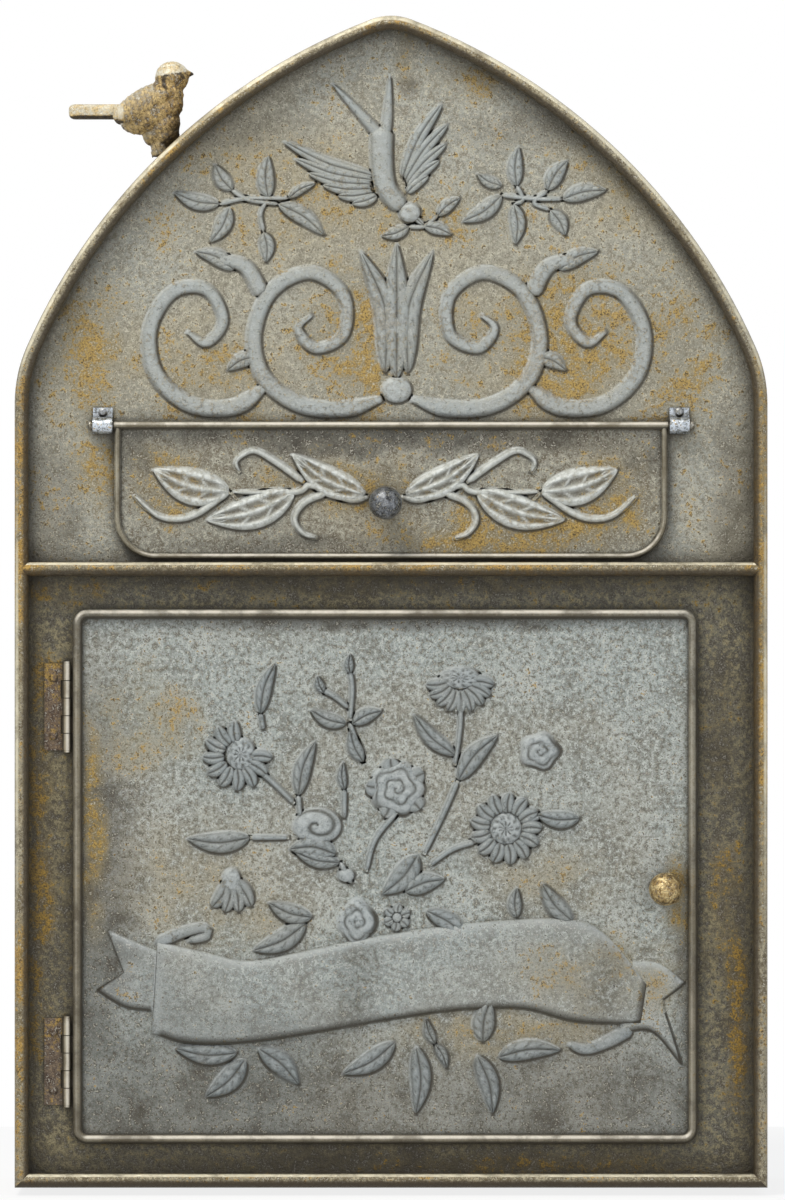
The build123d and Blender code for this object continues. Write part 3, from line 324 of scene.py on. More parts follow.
# Sheet round the door, galvanised: brown with grime and with painted shade of its recess between
# door and rim, ochre at its edges, a painted shadow under the rail
frameZinc = patina("frame_zinc_grime_and_painted_shade", {
    **zincLooks, "warm": "#625a42", "cool": "#615f53", "pale": "#938a6c", "dark": "#383124",
    "rust": 0.03, "gloom": "#322b1d", "specks": 0.25, "stainTone": "#6b5828",
    "rustTones": ("#a5822a", "#715821"), "mottle": 0.85,
    "rustZones": [(-128, 110, 8, 110, 0.85), (123, 60, 5, 46, 1.0), (60, 7, 80, 6, 0.45),
                  (-120, 212, 30, 8, 0.5), (118, 108, 10, 26, 0.7)],
    # Of the dark zones, the band under the rail is a painted shadow
    "darkZones": [(118, 160, 12, 40, 0.7), (-116, 90, 8, 60, 0.5), (0, 214, 130, 5, 0.8),
                  (0, 8, 150, 9, 0.95), (124, 70, 8, 80, 0.5)]})
# Rim and rail, galvanised sheet rolled round wire: a painted highlight on top, ochre and brown beside
# it, darkened there with painted shade
rimLooks = {
    **zincLooks, "warm": "#8a7d5e", "cool": "#86816f", "pale": "#aea68d", "dark": "#5c5139",
    "rust": 0.06, "metal": 0.4, "rough": 0.44, "wornTone": "#dcd5bc", "grimeAndShadeTone": "#3b3121",
    "stainTone": "#9a8040", "rustTones": ("#b58f3c", "#7f622b"), "highlightFrom": 0.88,
    "rustZones": [(-132, 240, 12, 60, 0.9), (132, 200, 12, 130, 0.8), (0, 415, 60, 12, 0.6),
                  (-70, 376, 34, 34, 0.8), (-132, 60, 12, 60, 0.6), (0, 220, 130, 6, 0.4)]}
# On the rim the painted highlight turns outwards too: a painted reflection of the bright surroundings
rimZinc = patina("rim_zinc_painted_highlight", {**rimLooks, "highlightAim": (0, -0.70, 0.12), "outward": 0.68})
# On the rail the painted highlight runs along its top, with painted shade below
railZinc = patina("rail_zinc_painted_highlight", {
    **rimLooks, "warm": "#6d6249", "cool": "#69634f", "highlightAim": (0, -0.60, 0.80), "highlightFrom": 0.92})
# Back plate, galvanised sheet that the weather has not reached: even and dull, with few pits
backZinc = patina("back_zinc_dull", {
    **zincLooks, "warm": "#8c8c84", "cool": "#8a9093", "pale": "#a3a6a4", "dark": "#6f706b",
    "rust": -0.04, "pits": 0.5, "bump": 0.35})

# Wire is drawn steel, grey with dull brown in its marks. The lugs are pressed and zinc plated,
# brighter and bluer, and the rod is turned steel that the flap has rubbed.
steelLooks = {**zincLooks, "warm": "#8f8f8a", "cool": "#969ba0", "pale": "#b9bcbd", "dark": "#66645d",
              "rust": 0.0, "metal": 0.7, "rough": 0.4, "bump": 0.3}
wireSteel = patina("wire_steel_dull", steelLooks)
lugSteel = patina("lug_steel_plated_bright", {
    **steelLooks, "warm": "#9ea3a5", "cool": "#a5aeb6", "pale": "#ced5dc", "dark": "#686b6d",
    "rough": 0.3, "pits": 0.5, "bump": 0.3})
rodSteel = patina("rod_steel_rubbed", {
    **steelLooks, "warm": "#8b8577", "cool": "#94928a", "pale": "#c9c6ba", "dark": "#5b5342",
    "rough": 0.34})
# Hinges, folded steel: rusted leaves with barrels rubbed pale, a painted highlight on the barrels'
# front and painted shade on their far side
hingeSteel = patina("hinge_steel_rusted", {
    **steelLooks, "warm": "#63503c", "cool": "#6a5e50", "pale": "#857460", "dark": "#402e20",
    "rust": 0.10, "metal": 0.3, "rough": 0.62, "bead": (0.0874, 0.0880),
    "beadTones": ("#857b64", "#a9a28f"), "highlightAim": (0.25, -0.95, 0.1), "wornTone": "#cfc9ba"})
# Knobs, cast iron: the flap's painted black and worn grey, the door's gilt with painted shade in its
# hollows
blackIron = patina("black_iron_worn", {
    **steelLooks, "warm": "#515356", "cool": "#5c6064", "pale": "#878b8f", "dark": "#303133",
    "rust": -0.02, "metal": 0.6, "rough": 0.36, "bright": "#a2a6aa"})
giltLooks = {
    **zincLooks, "warm": "#b3904e", "cool": "#a58c5c", "pale": "#dcc896", "dark": "#6b542c",
    "rust": 0.03, "metal": 0.6, "rough": 0.34, "grimeAndShadeTone": "#46371f", "bright": "#eadfbe"}
giltIron = patina("gilt_iron_worn", giltLooks)
# The bird, cast iron with the same gilt: browner, with a cream head and dark marks, painted
# highlights on its back and the top of its tail and painted shade under the tail
birdGilt = patina("bird_gilt_browned", {
    **giltLooks, "warm": "#9a7a3f", "cool": "#8d7a50", "pale": "#dcc083", "dark": "#46351c",
    "metal": 0.25, "rough": 0.46, "bright": "#e2ddc8", "rubAndHighlight": 0.95, "grimeAndShadeTone": "#1f180e",
    "bump": 1.0, "mottle": 0.8, "rust": -0.1})
# Magnet, sintered ferrite: matt and near black
darkFerrite = patina("magnet_ferrite", {
    **steelLooks, "warm": "#3a3b3d", "cool": "#404245", "pale": "#55585b", "dark": "#28292a",
    "rust": -0.3, "metal": 0.1, "rough": 0.7})

finishes = {
    "back_plate": backZinc, "left_side_strip": rimZinc, "right_side_strip": rimZinc,
    "left_arch_strip": rimZinc, "right_arch_strip": rimZinc, "bottom_plate": railZinc,
    "face_panel": faceZinc, "door_frame": frameZinc, "mid_rail": railZinc, "flap_panel": flapZinc,
    "door_panel": doorZinc, "left_flap_lug": lugSteel, "right_flap_lug": lugSteel,
    "flap_rod": rodSteel, "flap_knob": blackIron, "door_knob": giltIron, "bird_figure": birdGilt,
    "catch_magnet": darkFerrite}
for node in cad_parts:
    finish = finishes.get(node, hingeSteel if "hinge" in node else wireSteel)
    for slot in bpy.data.objects[node].material_slots:
        slot.material = finish
print("materials set")

# Pressed ornament. Each form is a patch of a fine grid laid on its sheet and raised by a formula,
# with a narrow skirt level with the sheet. Attributes say where grime and painted shade, crown and painted
# highlight, and form lie.
reliefSettings = {
    "lift": 0.03,  # millimetres that the skirt lies above the sheet
    "skirt": 0.8,  # millimetres, its width
    "merge": 0.000002,  # metres
    "light": (-0.64, 0.77), "lightBase": 0.25,  # edges that face up and left get a painted highlight
    # Painted shadow of the skirt, painted shade and painted highlight of the edges, and their body share
    "skirtShadow": 0.6, "edgeShade": 0.95, "edgeHighlight": 0.9, "edgeBody": 0.4}


class Relief:
    def __init__(self, front):
        self.front = front
        self.form = bmesh.new()
        layers = self.form.verts.layers.float
        self.grimeAndShade = layers.new("grimeAndShade")
        self.crownAndHighlight = layers.new("crownAndHighlight")
        self.body = layers.new("body")

    def patch(self, cells, shape):
        across, down = cells
        grid = bmesh.ops.create_grid(self.form, x_segments=across, y_segments=down, size=1)
        for vert in grid["verts"]:
            column = round((vert.co.x + 1) / 2 * across)
            row = round((vert.co.y + 1) / 2 * down)
            x, height, rise, grimeAndShade, crownAndHighlight, body = shape(column, row)
            vert.co = place(x, self.front + reliefSettings["lift"] + rise, height)
            vert[self.grimeAndShade] = grimeAndShade
            vert[self.crownAndHighlight] = crownAndHighlight
            vert[self.body] = body

    def finish(self, name, carrier, material, slot):
        form = self.form
        bmesh.ops.remove_doubles(form, verts=form.verts, dist=reliefSettings["merge"])
        form.normal_update()
        turned = [face for face in form.faces if face.normal.y > 0]
        bmesh.ops.reverse_faces(form, faces=turned)
        mesh = bpy.data.meshes.new(name)
        form.to_mesh(mesh)
        form.free()
        for polygon in mesh.polygons:
            polygon.use_smooth = True
        mesh.materials.append(material)
        piece = bpy.data.objects.new(name, mesh)
        bpy.context.collection.objects.link(piece)
        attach(piece, carrier)
        print(name, len(mesh.polygons), "faces")


# Gives the point at a share of the way along a smooth line through the points
def smoothLine(points):
    spots = [Vector(point) for point in points]
    ends = [2 * spots[0] - spots[1]] + spots + [2 * spots[-1] - spots[-2]]
    runs = [(b - a).length for a, b in zip(spots, spots[1:])]
    total = sum(runs)

    def at(share):
        along = min(max(share, 0.0), 1.0) * total
        index = 0
        while index < len(runs) - 1 and along > runs[index]:
            along -= runs[index]
            index += 1
        t = along / runs[index]
        before, start, end, after = ends[index:index + 4]
        return 0.5 * (2 * start + (end - before) * t
                      + (2 * before - 5 * start + 4 * end - after) * t * t
                      + (3 * start - before - 3 * end + after) * t ** 3)

    return at


def mirrored(spot, middle, side):
    return (middle + side * (spot[0] - middle), spot[1])


# Edges that face the light get a painted highlight, and those that face away painted shade
def litShare(outward):
    facing = outward.normalized().dot(Vector(reliefSettings["light"]))
    return min(1.0, max(0.0, reliefSettings["lightBase"] + facing))


def edgeTones(outward, outside):
    lit = litShare(outward)
    # Outside the form, a painted shadow on the side away from the light
    if outside:
        return (reliefSettings["skirtShadow"] * (1 - lit) ** 2, 0.0, 0.0)
    return (reliefSettings["edgeShade"] * (1 - lit), reliefSettings["edgeHighlight"] * lit,
            reliefSettings["edgeBody"])


# A form along a line: rise(s, t) and tone(s, t) take the share along it and across it
def strip(relief, cells, line, halfWidth, rise, tone, skirt=reliefSettings["skirt"]):
    columns, rows = cells

    def shape(column, row):
        s = min(max((column - 1) / (columns - 2), 0.0), 1.0)
        t = min(max((row - 1) / (rows - 2), 0.0), 1.0) * 2 - 1
        spot = line(s)
        ahead = (line(min(s + 0.01, 1.0)) - line(max(s - 0.01, 0.0))).normalized()
        side = Vector((-ahead.y, ahead.x))
        reach = halfWidth(s) * t
        outside = column in (0, columns) or row in (0, rows)
        if row in (0, rows):
            reach += skirt * (1 if row else -1)
        spot = spot + side * reach
        if column in (0, columns):
            spot = spot + ahead * skirt * (1 if column else -1)
        outward = side if t > 0 else -side
        if column in (0, 1, columns - 1, columns):
            outward = ahead if column > 1 else -ahead
        if outside or column in (1, columns - 1) or row in (1, rows - 1):
            return (spot.x, spot.y, 0.0, *edgeTones(outward, outside))
        grimeAndShade, crownAndHighlight, body = tone(s, t)
        # Towards the light the edge's dark gives way to a painted highlight
        border = abs(t) ** 6 * litShare(outward)
        grimeAndShade = grimeAndShade * (1 - 0.9 * border)
        return spot.x, spot.y, rise(s, t), grimeAndShade, max(crownAndHighlight, reliefSettings["edgeHighlight"] * border), body

    relief.patch(cells, shape)


leafShape = {  # shares of a leaf's half width, but for the first line
    "belly": 0.82, "endWidth": 0.05, "grooveDepth": 0.4, "veinDepth": 0.22, "veinSlant": 0.9,
    "rimFrom": 0.46, "rimRun": 0.2, "midrib": 0.15, "groove": 0.16, "grooveGrime": 0.13}


# A leaf with a groove down its middle or, with a border, a raised rim and midrib
def leaf(relief, tip, base, width, rise=1.75, bend=0.07, veins=5, blunt=0.8, cells=(24, 14),
         border=False):
    tip, base = Vector(tip), Vector(base)
    side = Vector((base.y - tip.y, tip.x - base.x))
    line = smoothLine([base, (tip + base) / 2 + side * bend, tip])

    def halfWidth(s):
        swell = max(sin(pi * min(s ** leafShape["belly"], 1.0)), 0.0)
        return width / 2 * swell ** blunt + leafShape["endWidth"]

    def vein(s, t):
        if not veins:
            return 0.0
        wave = cos(2 * pi * (s * veins - abs(t) * leafShape["veinSlant"]))
        return max(wave, 0.0) ** 5 * min(1, abs(t) * 4)

    def ridge(s, t):
        rim = min(1.0, max(0.0, (abs(t) - leafShape["rimFrom"]) / leafShape["rimRun"]))
        midrib = 2.7 ** (-(t / leafShape["midrib"]) ** 2)
        return max(midrib, rim, 0.7 * vein(s, t), 1 - 5 * min(s, 1 - s))

    def height(s, t):
        ends = min(1.0, 2.6 * sin(pi * s) + 0.05) ** 0.5
        cushion = (1 - abs(t) ** 3) ** 0.5
        if border:
            return rise * ends * cushion * (0.5 + 0.5 * ridge(s, t))
        groove = leafShape["grooveDepth"] * 2.7 ** (-(t / leafShape["groove"]) ** 2)
        return rise * ends * cushion * (1 - groove - leafShape["veinDepth"] * vein(s, t))

    def tone(s, t):
        if border:
            high = ridge(s, t)
            return 0.4 * (1 - high), high * (1 - 0.6 * abs(t) ** 8), 0.15 + 0.85 * high
        groove = 2.7 ** (-(t / leafShape["grooveGrime"]) ** 2)
        grimeAndShade = max(0.75 * groove, 0.45 * vein(s, t), 0.9 * abs(t) ** 8)
        return grimeAndShade, max(0.0, 1 - 2.2 * grimeAndShade) * (0.2 + 0.3 * sin(pi * s)), 1.0

    strip(relief, cells, line, halfWidth, height, tone)


stemShape = {"cell": 1.1, "skirt": 0.7}  # millimetres


# A round stem that thins towards its end, the higher its flat the squarer its section
def stem(relief, points, width, rise=0.9, taper=0.5, flat=2.0, cells=None):
    line = smoothLine(points)
    runs = [hypot(b[0] - a[0], b[1] - a[1]) for a, b in zip(points, points[1:])]
    cells = cells or (max(10, int(sum(runs) / stemShape["cell"])), 8)

    def halfWidth(s):
        return width / 2 * (1 - (1 - taper) * s ** 2) * min(1, 0.35 + 9 * min(s, 1 - s))

    def height(s, t):
        return rise * (1 - abs(t) ** flat) ** 0.5 * min(1, 0.3 + 12 * min(s, 1 - s))

    def tone(s, t):
        return 0.6 * abs(t) ** 6, max(0.0, 0.6 - abs(t) ** 4), 1.0

    strip(relief, cells, line, halfWidth, height, tone, stemShape["skirt"])


# A round form: a plain dome, a lobed rose with wound petals, or a dotted eye
def boss(relief, centre, wide, tall, rise, lobes=0, turns=0.0, dots=0, cells=(9, 28)):
    rings, spokes = cells
    skirt = reliefSettings["skirt"]

    def shape(ring, spoke):
        angle = 2 * pi * (spoke % spokes) / spokes
        share = min(ring / (rings - 1), 1.0)
        swell = 1 + (0.09 * cos(lobes * angle) if lobes else 0.0)
        reachX = wide * share * swell + (skirt if ring == rings else 0.0)
        reachY = tall * share * swell + (skirt if ring == rings else 0.0)
        x = centre[0] + reachX * cos(angle)
        height = centre[1] + reachY * sin(angle)
        if ring >= rings - 1:
            return (x, height, 0.0, *edgeTones(Vector((cos(angle), sin(angle))), ring == rings))
        dome = rise * (1 - share ** 3) ** 0.5
        mark = 0.0
        if turns:
            mark = max(cos(2 * pi * turns * share - angle + lobes * 0.4), 0.0) ** 3
        if dots:
            mark = max(0.0, cos(dots * angle) * cos(pi * 3 * share))
        return x, height, dome * (1 - 0.3 * mark), 0.75 * mark, max(0.0, 0.9 - 1.4 * mark), 1.0

    relief.patch(cells, shape)


# A ring of petals between two reaches from its centre, over a sweep of degrees
def petals(relief, centre, inner, outer, width, count, start, sweep, squash=1.0, rise=1.6):
    middle = Vector(centre)
    for index in range(count):
        angle = radians(start + sweep * index / count)
        aim = Vector((cos(angle), sin(angle) * squash))
        leaf(relief, middle + aim * outer, middle + aim * inner, width, rise, veins=0, blunt=0.45,
             cells=(14, 10))


# A bare ribbon between two lines, its edges a little raised, its end straight or notched
def band(relief, upper, lower, rise, notch=0.0, waves=2.0, cells=(56, 14)):
    top, foot = smoothLine(upper), smoothLine(lower)
    columns, rows = cells
    skirt = reliefSettings["skirt"]

    def shape(column, row):
        s = min(max((column - 1) / (columns - 2), 0.0), 1.0)
        t = min(max((row - 1) / (rows - 2), 0.0), 1.0)
        s = s * (1 - notch * (1 - abs(2 * t - 1)))
        spot = foot(s).lerp(top(s), t)
        up = (top(s) - foot(s)).normalized()
        ahead = Vector((up.y, -up.x))
        if row in (0, rows):
            spot = spot + up * skirt * (1 if row else -1)
        if column in (0, columns):
            spot = spot + ahead * skirt * (1 if column else -1) * (-1 if notch < 0 else 1)
        outside = row in (0, rows) or column in (0, columns)
        outward = up if t > 0.5 else -up
        if column in (0, 1, columns - 1, columns):
            outward = ahead if column > 1 else -ahead
        if outside or row in (1, rows - 1) or column in (1, columns - 1):
            return (spot.x, spot.y, 0.0 if outside else 0.55 * rise, *edgeTones(outward, outside))
        border = abs(2 * t - 1) ** 8
        swell = 0.12 * sin(2 * pi * waves * s)
        # Painted shade in the troughs of the ribbon's waves
        fold = max(0.0, cos(2 * pi * waves * s + 1.2)) ** 6
        return (spot.x, spot.y, rise * (0.8 + swell + 0.35 * border), 0.25 * fold,
                0.7 * border + 0.15 * (1 - fold), 0.2)

    relief.patch(cells, shape)


# Flap: a leafy vine, the same to the left and the right of the knob
vineSettings = {
    "middle": -2.0, "bend": 0.07,
    "stemLook": {"width": 2.8, "rise": 1.4, "taper": 0.45},
    "leafLook": {"rise": 2.0, "veins": 4, "cells": (44, 26), "border": True},
    "leaves": [  # tip, base, width
        ((-84.9, 255.7), (-57.5, 247.6), 13.0), ((-66.0, 237.6), (-34.4, 247.6), 12.4),
        ((-35.4, 261.1), (-9.1, 246.5), 10.4)],
    "stems": [
        [(-57.5, 247.6), (-60.7, 245.8), (-68.9, 240.1), (-76.0, 238.0), (-83.4, 239.4), (-91.6, 246.5)],
        [(-30.8, 251.1), (-39.7, 257.5), (-47.9, 262.2), (-52.5, 261.1), (-55.3, 258.2), (-53.8, 254.6)],
        [(-7.7, 245.8), (-14.4, 245.1), (-21.6, 247.6), (-29.0, 250.1), (-34.4, 247.6), (-57.1, 247.6)],
        [(-22.6, 247.6), (-30.8, 244.0), (-34.4, 238.3), (-31.5, 233.0), (-26.2, 231.2)]]}
vine = Relief(flapFront)
for side in (1, -1):
    for points in vineSettings["stems"]:
        route = [mirrored(spot, vineSettings["middle"], side) for spot in points]
        stem(vine, route, **vineSettings["stemLook"])
    for tip, base, width in vineSettings["leaves"]:
        ends = [mirrored(spot, vineSettings["middle"], side) for spot in (tip, base)]
        leaf(vine, *ends, width, bend=vineSettings["bend"] * side, **vineSettings["leafLook"])
vine.finish("flap_vine", "flap", flapVineZinc, "aged_zinc")

# Door: a bouquet of meadow flowers tied behind a bare ribbon, with sprigs under it
bouquetSettings = {
    "stemLook": {"width": 2.0, "rise": 1.1, "taper": 0.8},
    "leaves": [  # tip, base, width
        ((-41.3, 186.7), (-46.6, 168.6), 5.7), ((-26.3, 182.1), (-24.0, 176.1), 3.4),
        ((-14.6, 190.0), (-14.6, 183.0), 3.4), ((-28.8, 170.0), (-16.0, 165.0), 5.6),
        ((-3.2, 169.7), (-13.9, 165.0), 5.6), ((-14.6, 162.9), (-10.0, 151.5), 5.2),
        ((-27.0, 159.0), (-33.1, 139.4), 6.4), ((-17.1, 151.5), (-16.7, 141.6), 3.4),
        ((7.8, 168.6), (23.1, 153.7), 6.0), ((38.1, 161.1), (23.8, 144.8), 7.4),
        ((51.6, 132.7), (67.2, 131.3), 6.4), ((-72.9, 124.1), (-50.2, 124.5), 7.8),
        ((-34.5, 119.5), (-18.1, 115.6), 5.4), ((-3.3, 104.2), (9.6, 118.4), 9.0),
        ((19.2, 109.6), (5.0, 105.3), 7.4), ((-43.8, 101.4), (-28.1, 96.0), 7.1),
        ((28.0, 87.6), (12.4, 98.5), 6.8), ((44.8, 106.7), (44.8, 96.0), 5.0),
        ((53.7, 108.1), (64.7, 94.6), 6.8), ((-49.4, 84.1), (-30.4, 93.8), 8.0)],
    "sprigLeaves": [
        ((-77.2, 49.4), (-54.8, 47.7), 7.1), ((-66.2, 32.0), (-51.9, 45.5), 8.2),
        ((-32.8, 36.3), (-47.3, 49.4), 8.2), ((-17.4, 40.2), (1.4, 51.6), 7.6),
        ((8.9, 26.0), (8.9, 50.2), 7.6), ((12.4, 60.0), (15.7, 50.9), 3.8),
        ((19.9, 42.4), (15.7, 50.9), 3.8), ((35.6, 66.9), (32.7, 51.6), 8.2),
        ((60.5, 48.7), (38.1, 46.2), 7.4), ((36.3, 26.0), (30.6, 47.0), 7.4)],
    "stems": [
        [(-49.8, 150.8), (-41.3, 143.3), (-34.5, 136.6)], [(-46.6, 168.6), (-45.6, 163.0)],
        [(-24.5, 177.1), (-19.9, 174.6), (-14.9, 170.5)], [(-14.6, 183.5), (-13.9, 177.1), (-14.6, 166.2)],
        [(-16.7, 141.6), (-16.7, 131.3)], [(24.9, 175.6), (24.5, 162.9), (22.7, 150.2)],
        [(23.8, 144.8), (18.5, 132.7), (11.7, 118.4)], [(2.1, 133.7), (-5.7, 123.8), (-8.9, 112.3)],
        [(30.1, 123.1), (21.7, 120.2), (13.7, 114.6)], [(-50.2, 124.5), (-36.3, 124.5)],
        [(53.0, 132.0), (49.0, 130.2)], [(-10.0, 151.5), (-14.6, 165.2)],
        [(-33.1, 139.4), (-32.4, 131.7)], [(-18.1, 115.6), (-14.0, 108.0)]],
    "foldedLeaf": {"tip": (-36.4, 120.4), "base": (-19.6, 118.6), "width": 8.4, "rise": 1.8, "bend": -0.1},
    "petals": [  # centre, inner and outer reach, width, count, first angle, sweep, squash, rise
        ((-54.8, 153.7), 4.5, 12.6, 5.0, 10, 95, 290), ((40.9, 127.7), 5.4, 13.0, 5.4, 13, 0, 360),
        ((24.5, 180.6), 3.6, 12.4, 5.0, 9, -172, 184, 0.95),
        ((2.1, 141.9), 6.4, 11.2, 7.0, 5, 30, 360, 1.0, 0.9),
        ((-57.0, 110.6), 1.5, 13.0, 5.6, 4, -122, 88, 1.0, 1.3),
        ((2.1, 96.0), 1.6, 5.0, 3.8, 6, 20, 360, 1.0, 1.0)],
    "bosses": [  # centre, half width, half height, rise, marks
        ((-53.6, 154.2), 5.4, 6.0, 1.9, {"dots": 9}), ((40.9, 127.7), 6.0, 6.0, 1.9, {"dots": 10}),
        ((24.6, 181.4), 7.4, 4.0, 1.9, {"dots": 9}),
        ((53.0, 155.4), 7.0, 6.4, 1.6, {"lobes": 5, "turns": 2.0}),
        ((2.1, 141.9), 9.2, 9.2, 1.8, {"lobes": 5, "turns": 2.6, "cells": (13, 36)}),
        ((-26.3, 128.6), 8.0, 7.0, 1.9, {"lobes": 2, "turns": 1.3, "cells": (12, 32)}),
        ((-16.0, 111.0), 3.0, 2.4, 1.3, {}), ((-57.0, 109.4), 3.4, 4.2, 1.6, {}),
        ((-12.1, 94.5), 6.6, 8.0, 1.7, {"lobes": 4, "turns": 2.0}), ((2.1, 96.0), 1.8, 1.8, 1.2, {})],
    "ribbon": [
        {"upper": [(-83.6, 83.6), (-92.0, 87.0), (-101.0, 91.1)],
         "lower": [(-84.8, 63.0), (-95.0, 64.5), (-104.9, 70.4)],
         "rise": 1.2, "notch": 0.42, "waves": 0.6, "cells": (22, 14)},
        {"upper": [(84.0, 80.0), (95.0, 79.3), (104.4, 72.6)],
         "lower": [(82.0, 55.0), (93.0, 55.5), (103.4, 44.0)],
         "rise": 1.2, "notch": 0.44, "waves": 0.6, "cells": (22, 14)},
        {"upper": [(-82.9, 86.8), (-68.3, 83.6), (-51.9, 80.0), (-33.8, 82.9), (-3.9, 88.9),
                   (28.8, 93.5), (61.9, 95.0), (76.8, 89.1), (91.0, 72.1)],
         "lower": [(-84.7, 55.1), (-72.9, 51.6), (-53.4, 51.6), (-28.1, 55.1), (-1.1, 59.8),
                   (24.5, 63.3), (47.0, 63.7), (66.5, 59.0), (88.9, 58.4)],
         "rise": 2.2}],
    "ribbonFolds": [
        {"points": [(-84.0, 86.6), (-74.0, 90.8), (-66.5, 92.2), (-66.0, 89.4), (-72.9, 87.6)],
         "width": 4.4, "rise": 1.2, "taper": 0.6},
        {"points": [(86.0, 56.6), (78.0, 52.0), (69.4, 48.9), (63.0, 50.9)],
         "width": 5.0, "rise": 1.2, "taper": 0.5}]}
bouquet = Relief(doorFront)
for points in bouquetSettings["stems"]:
    stem(bouquet, points, **bouquetSettings["stemLook"])
for tip, base, width in bouquetSettings["leaves"] + bouquetSettings["sprigLeaves"]:
    leaf(bouquet, tip, base, width)
leaf(bouquet, **bouquetSettings["foldedLeaf"])
for ring in bouquetSettings["petals"]:
    petals(bouquet, *ring)
for centre, wide, tall, rise, marks in bouquetSettings["bosses"]:
    boss(bouquet, centre, wide, tall, rise, **marks)
for stretch in bouquetSettings["ribbon"]:
    band(bouquet, **stretch)
for fold in bouquetSettings["ribbonFolds"]:
    stem(bouquet, **fold)
bouquet.finish("door_bouquet", "door", doorBouquetZinc, "aged_zinc")

# Face: a swallow between two sprigs, above scrollwork with a plain upright leaf in its middle
faceSettings = {
    "sprigLook": {"width": 1.7, "rise": 0.8, "taper": 0.8}, "sprigRise": 1.2,
    "scrollLook": {"width": 6.2, "rise": 1.3, "taper": 0.55, "flat": 5.0},
    "scrollRise": 1.3, "scrollBend": -0.1, "scrollVeins": 6, "middle": 2.0,
    "featherLook": {"rise": 1.1, "bend": 0.05, "veins": 0, "blunt": 0.5},
    "feathers": [  # tip, base, width
        ((-38.4, 372.8), (-6.0, 360.5), 4.6), ((-34.4, 366.6), (-6.5, 359.0), 4.8),
        ((-29.5, 361.4), (-7.0, 357.5), 4.8), ((-24.4, 357.2), (-7.0, 356.0), 4.6),
        ((-19.0, 353.4), (-6.5, 354.6), 4.4), ((-13.9, 350.6), (-5.0, 353.4), 4.0),
        ((18.1, 386.3), (4.0, 360.0), 4.8), ((20.2, 379.0), (5.0, 359.0), 4.8),
        ((19.6, 372.0), (5.6, 357.6), 4.6), ((17.2, 366.0), (6.0, 356.2), 4.2),
        ((13.4, 360.6), (5.6, 354.4), 3.8)],
    "sprigLeaves": [
        ((-77.5, 354.6), (-61.2, 350.4), 6.0), ((-63.0, 364.6), (-56.6, 355.3), 5.7),
        ((-43.8, 367.8), (-43.8, 352.5), 6.4), ((-27.0, 357.8), (-36.6, 352.5), 3.4),
        ((-23.8, 339.3), (-40.2, 350.4), 6.2), ((-44.5, 329.7), (-45.5, 340.4), 5.5),
        ((-64.4, 336.8), (-57.6, 349.3), 6.2), ((25.3, 344.0), (39.5, 353.6), 6.2),
        ((45.5, 371.0), (44.8, 356.8), 5.7), ((63.0, 366.0), (55.8, 355.3), 6.2),
        ((76.8, 355.3), (61.2, 352.1), 6.2), ((62.2, 339.3), (56.9, 348.2), 5.7),
        ((44.5, 336.1), (43.8, 350.4), 5.7), ((30.6, 361.4), (39.5, 356.8), 4.3),
        ((-3.6, 339.0), (6.4, 342.4), 4.6), ((21.6, 339.4), (11.6, 342.6), 4.8),
        ((24.6, 352.6), (16.6, 346.2), 4.6)],
    "sprigStems": [
        [(-61.2, 350.4), (-52.0, 352.4), (-36.6, 352.5)], [(-45.5, 340.4), (-46.6, 347.0), (-43.8, 352.5)],
        [(-57.0, 355.6), (-51.0, 352.0), (-40.2, 350.4)], [(39.5, 353.6), (50.0, 352.4), (61.2, 352.1)],
        [(44.8, 357.0), (47.0, 352.0), (43.8, 350.4)], [(55.8, 355.3), (51.0, 351.0), (56.9, 348.2)],
        [(6.0, 342.4), (12.0, 342.6), (17.0, 346.8)]],
    "scrollStems": [
        [(-3.0, 281.0), (-16.0, 277.4), (-32.0, 278.6), (-45.0, 288.0), (-49.0, 303.0), (-43.0, 319.0),
         (-29.0, 326.0), (-17.0, 318.0), (-17.0, 304.0), (-27.0, 299.0), (-33.0, 306.0), (-28.0, 311.0)],
        [(-44.0, 286.0), (-56.0, 278.0), (-72.0, 279.0), (-84.0, 290.0), (-86.0, 306.0), (-78.0, 319.0),
         (-66.0, 320.0), (-60.0, 309.0), (-66.0, 301.0), (-73.0, 305.0)],
        [(-46.0, 318.0), (-52.0, 328.0), (-62.0, 331.0)]],
    "scrollLeaves": [
        ((-11.0, 334.0), (-2.0, 290.0), 9.0), ((-70.0, 333.5), (-56.0, 327.0), 6.0),
        ((-58.5, 291.0), (-48.0, 296.0), 5.6)],
    "uprightLeaf": {"tip": (2.0, 336.5), "base": (2.0, 288.0), "width": 10.0, "rise": 1.4,
                    "bend": 0.0, "veins": 8, "cells": (40, 16)},
    "knot": {"centre": (2.0, 284.0), "wide": 5.4, "tall": 4.6, "rise": 1.5},
    "tailFeathers": [[(-3.4, 374.0), (-8.5, 380.0), (-21.0, 393.4)],
                     [(-2.6, 374.0), (-1.4, 381.0), (-0.4, 396.6)]],
    "tailLook": {"width": 4.2, "rise": 1.0, "taper": 0.15},
    "body": {"points": [(-3.4, 378.0), (-3.4, 366.0), (-1.6, 356.0), (4.4, 348.6)],
             "width": 8.6, "rise": 1.9, "taper": 0.75, "flat": 2.2, "cells": (26, 12)},
    "head": {"centre": (6.6, 347.4), "wide": 3.9, "tall": 3.6, "rise": 2.0},
    "beak": {"tip": (12.0, 342.6), "base": (8.2, 346.0), "width": 2.0, "rise": 0.9, "bend": 0.0,
             "veins": 0, "cells": (10, 8)}}
faceRelief = Relief(faceFront)
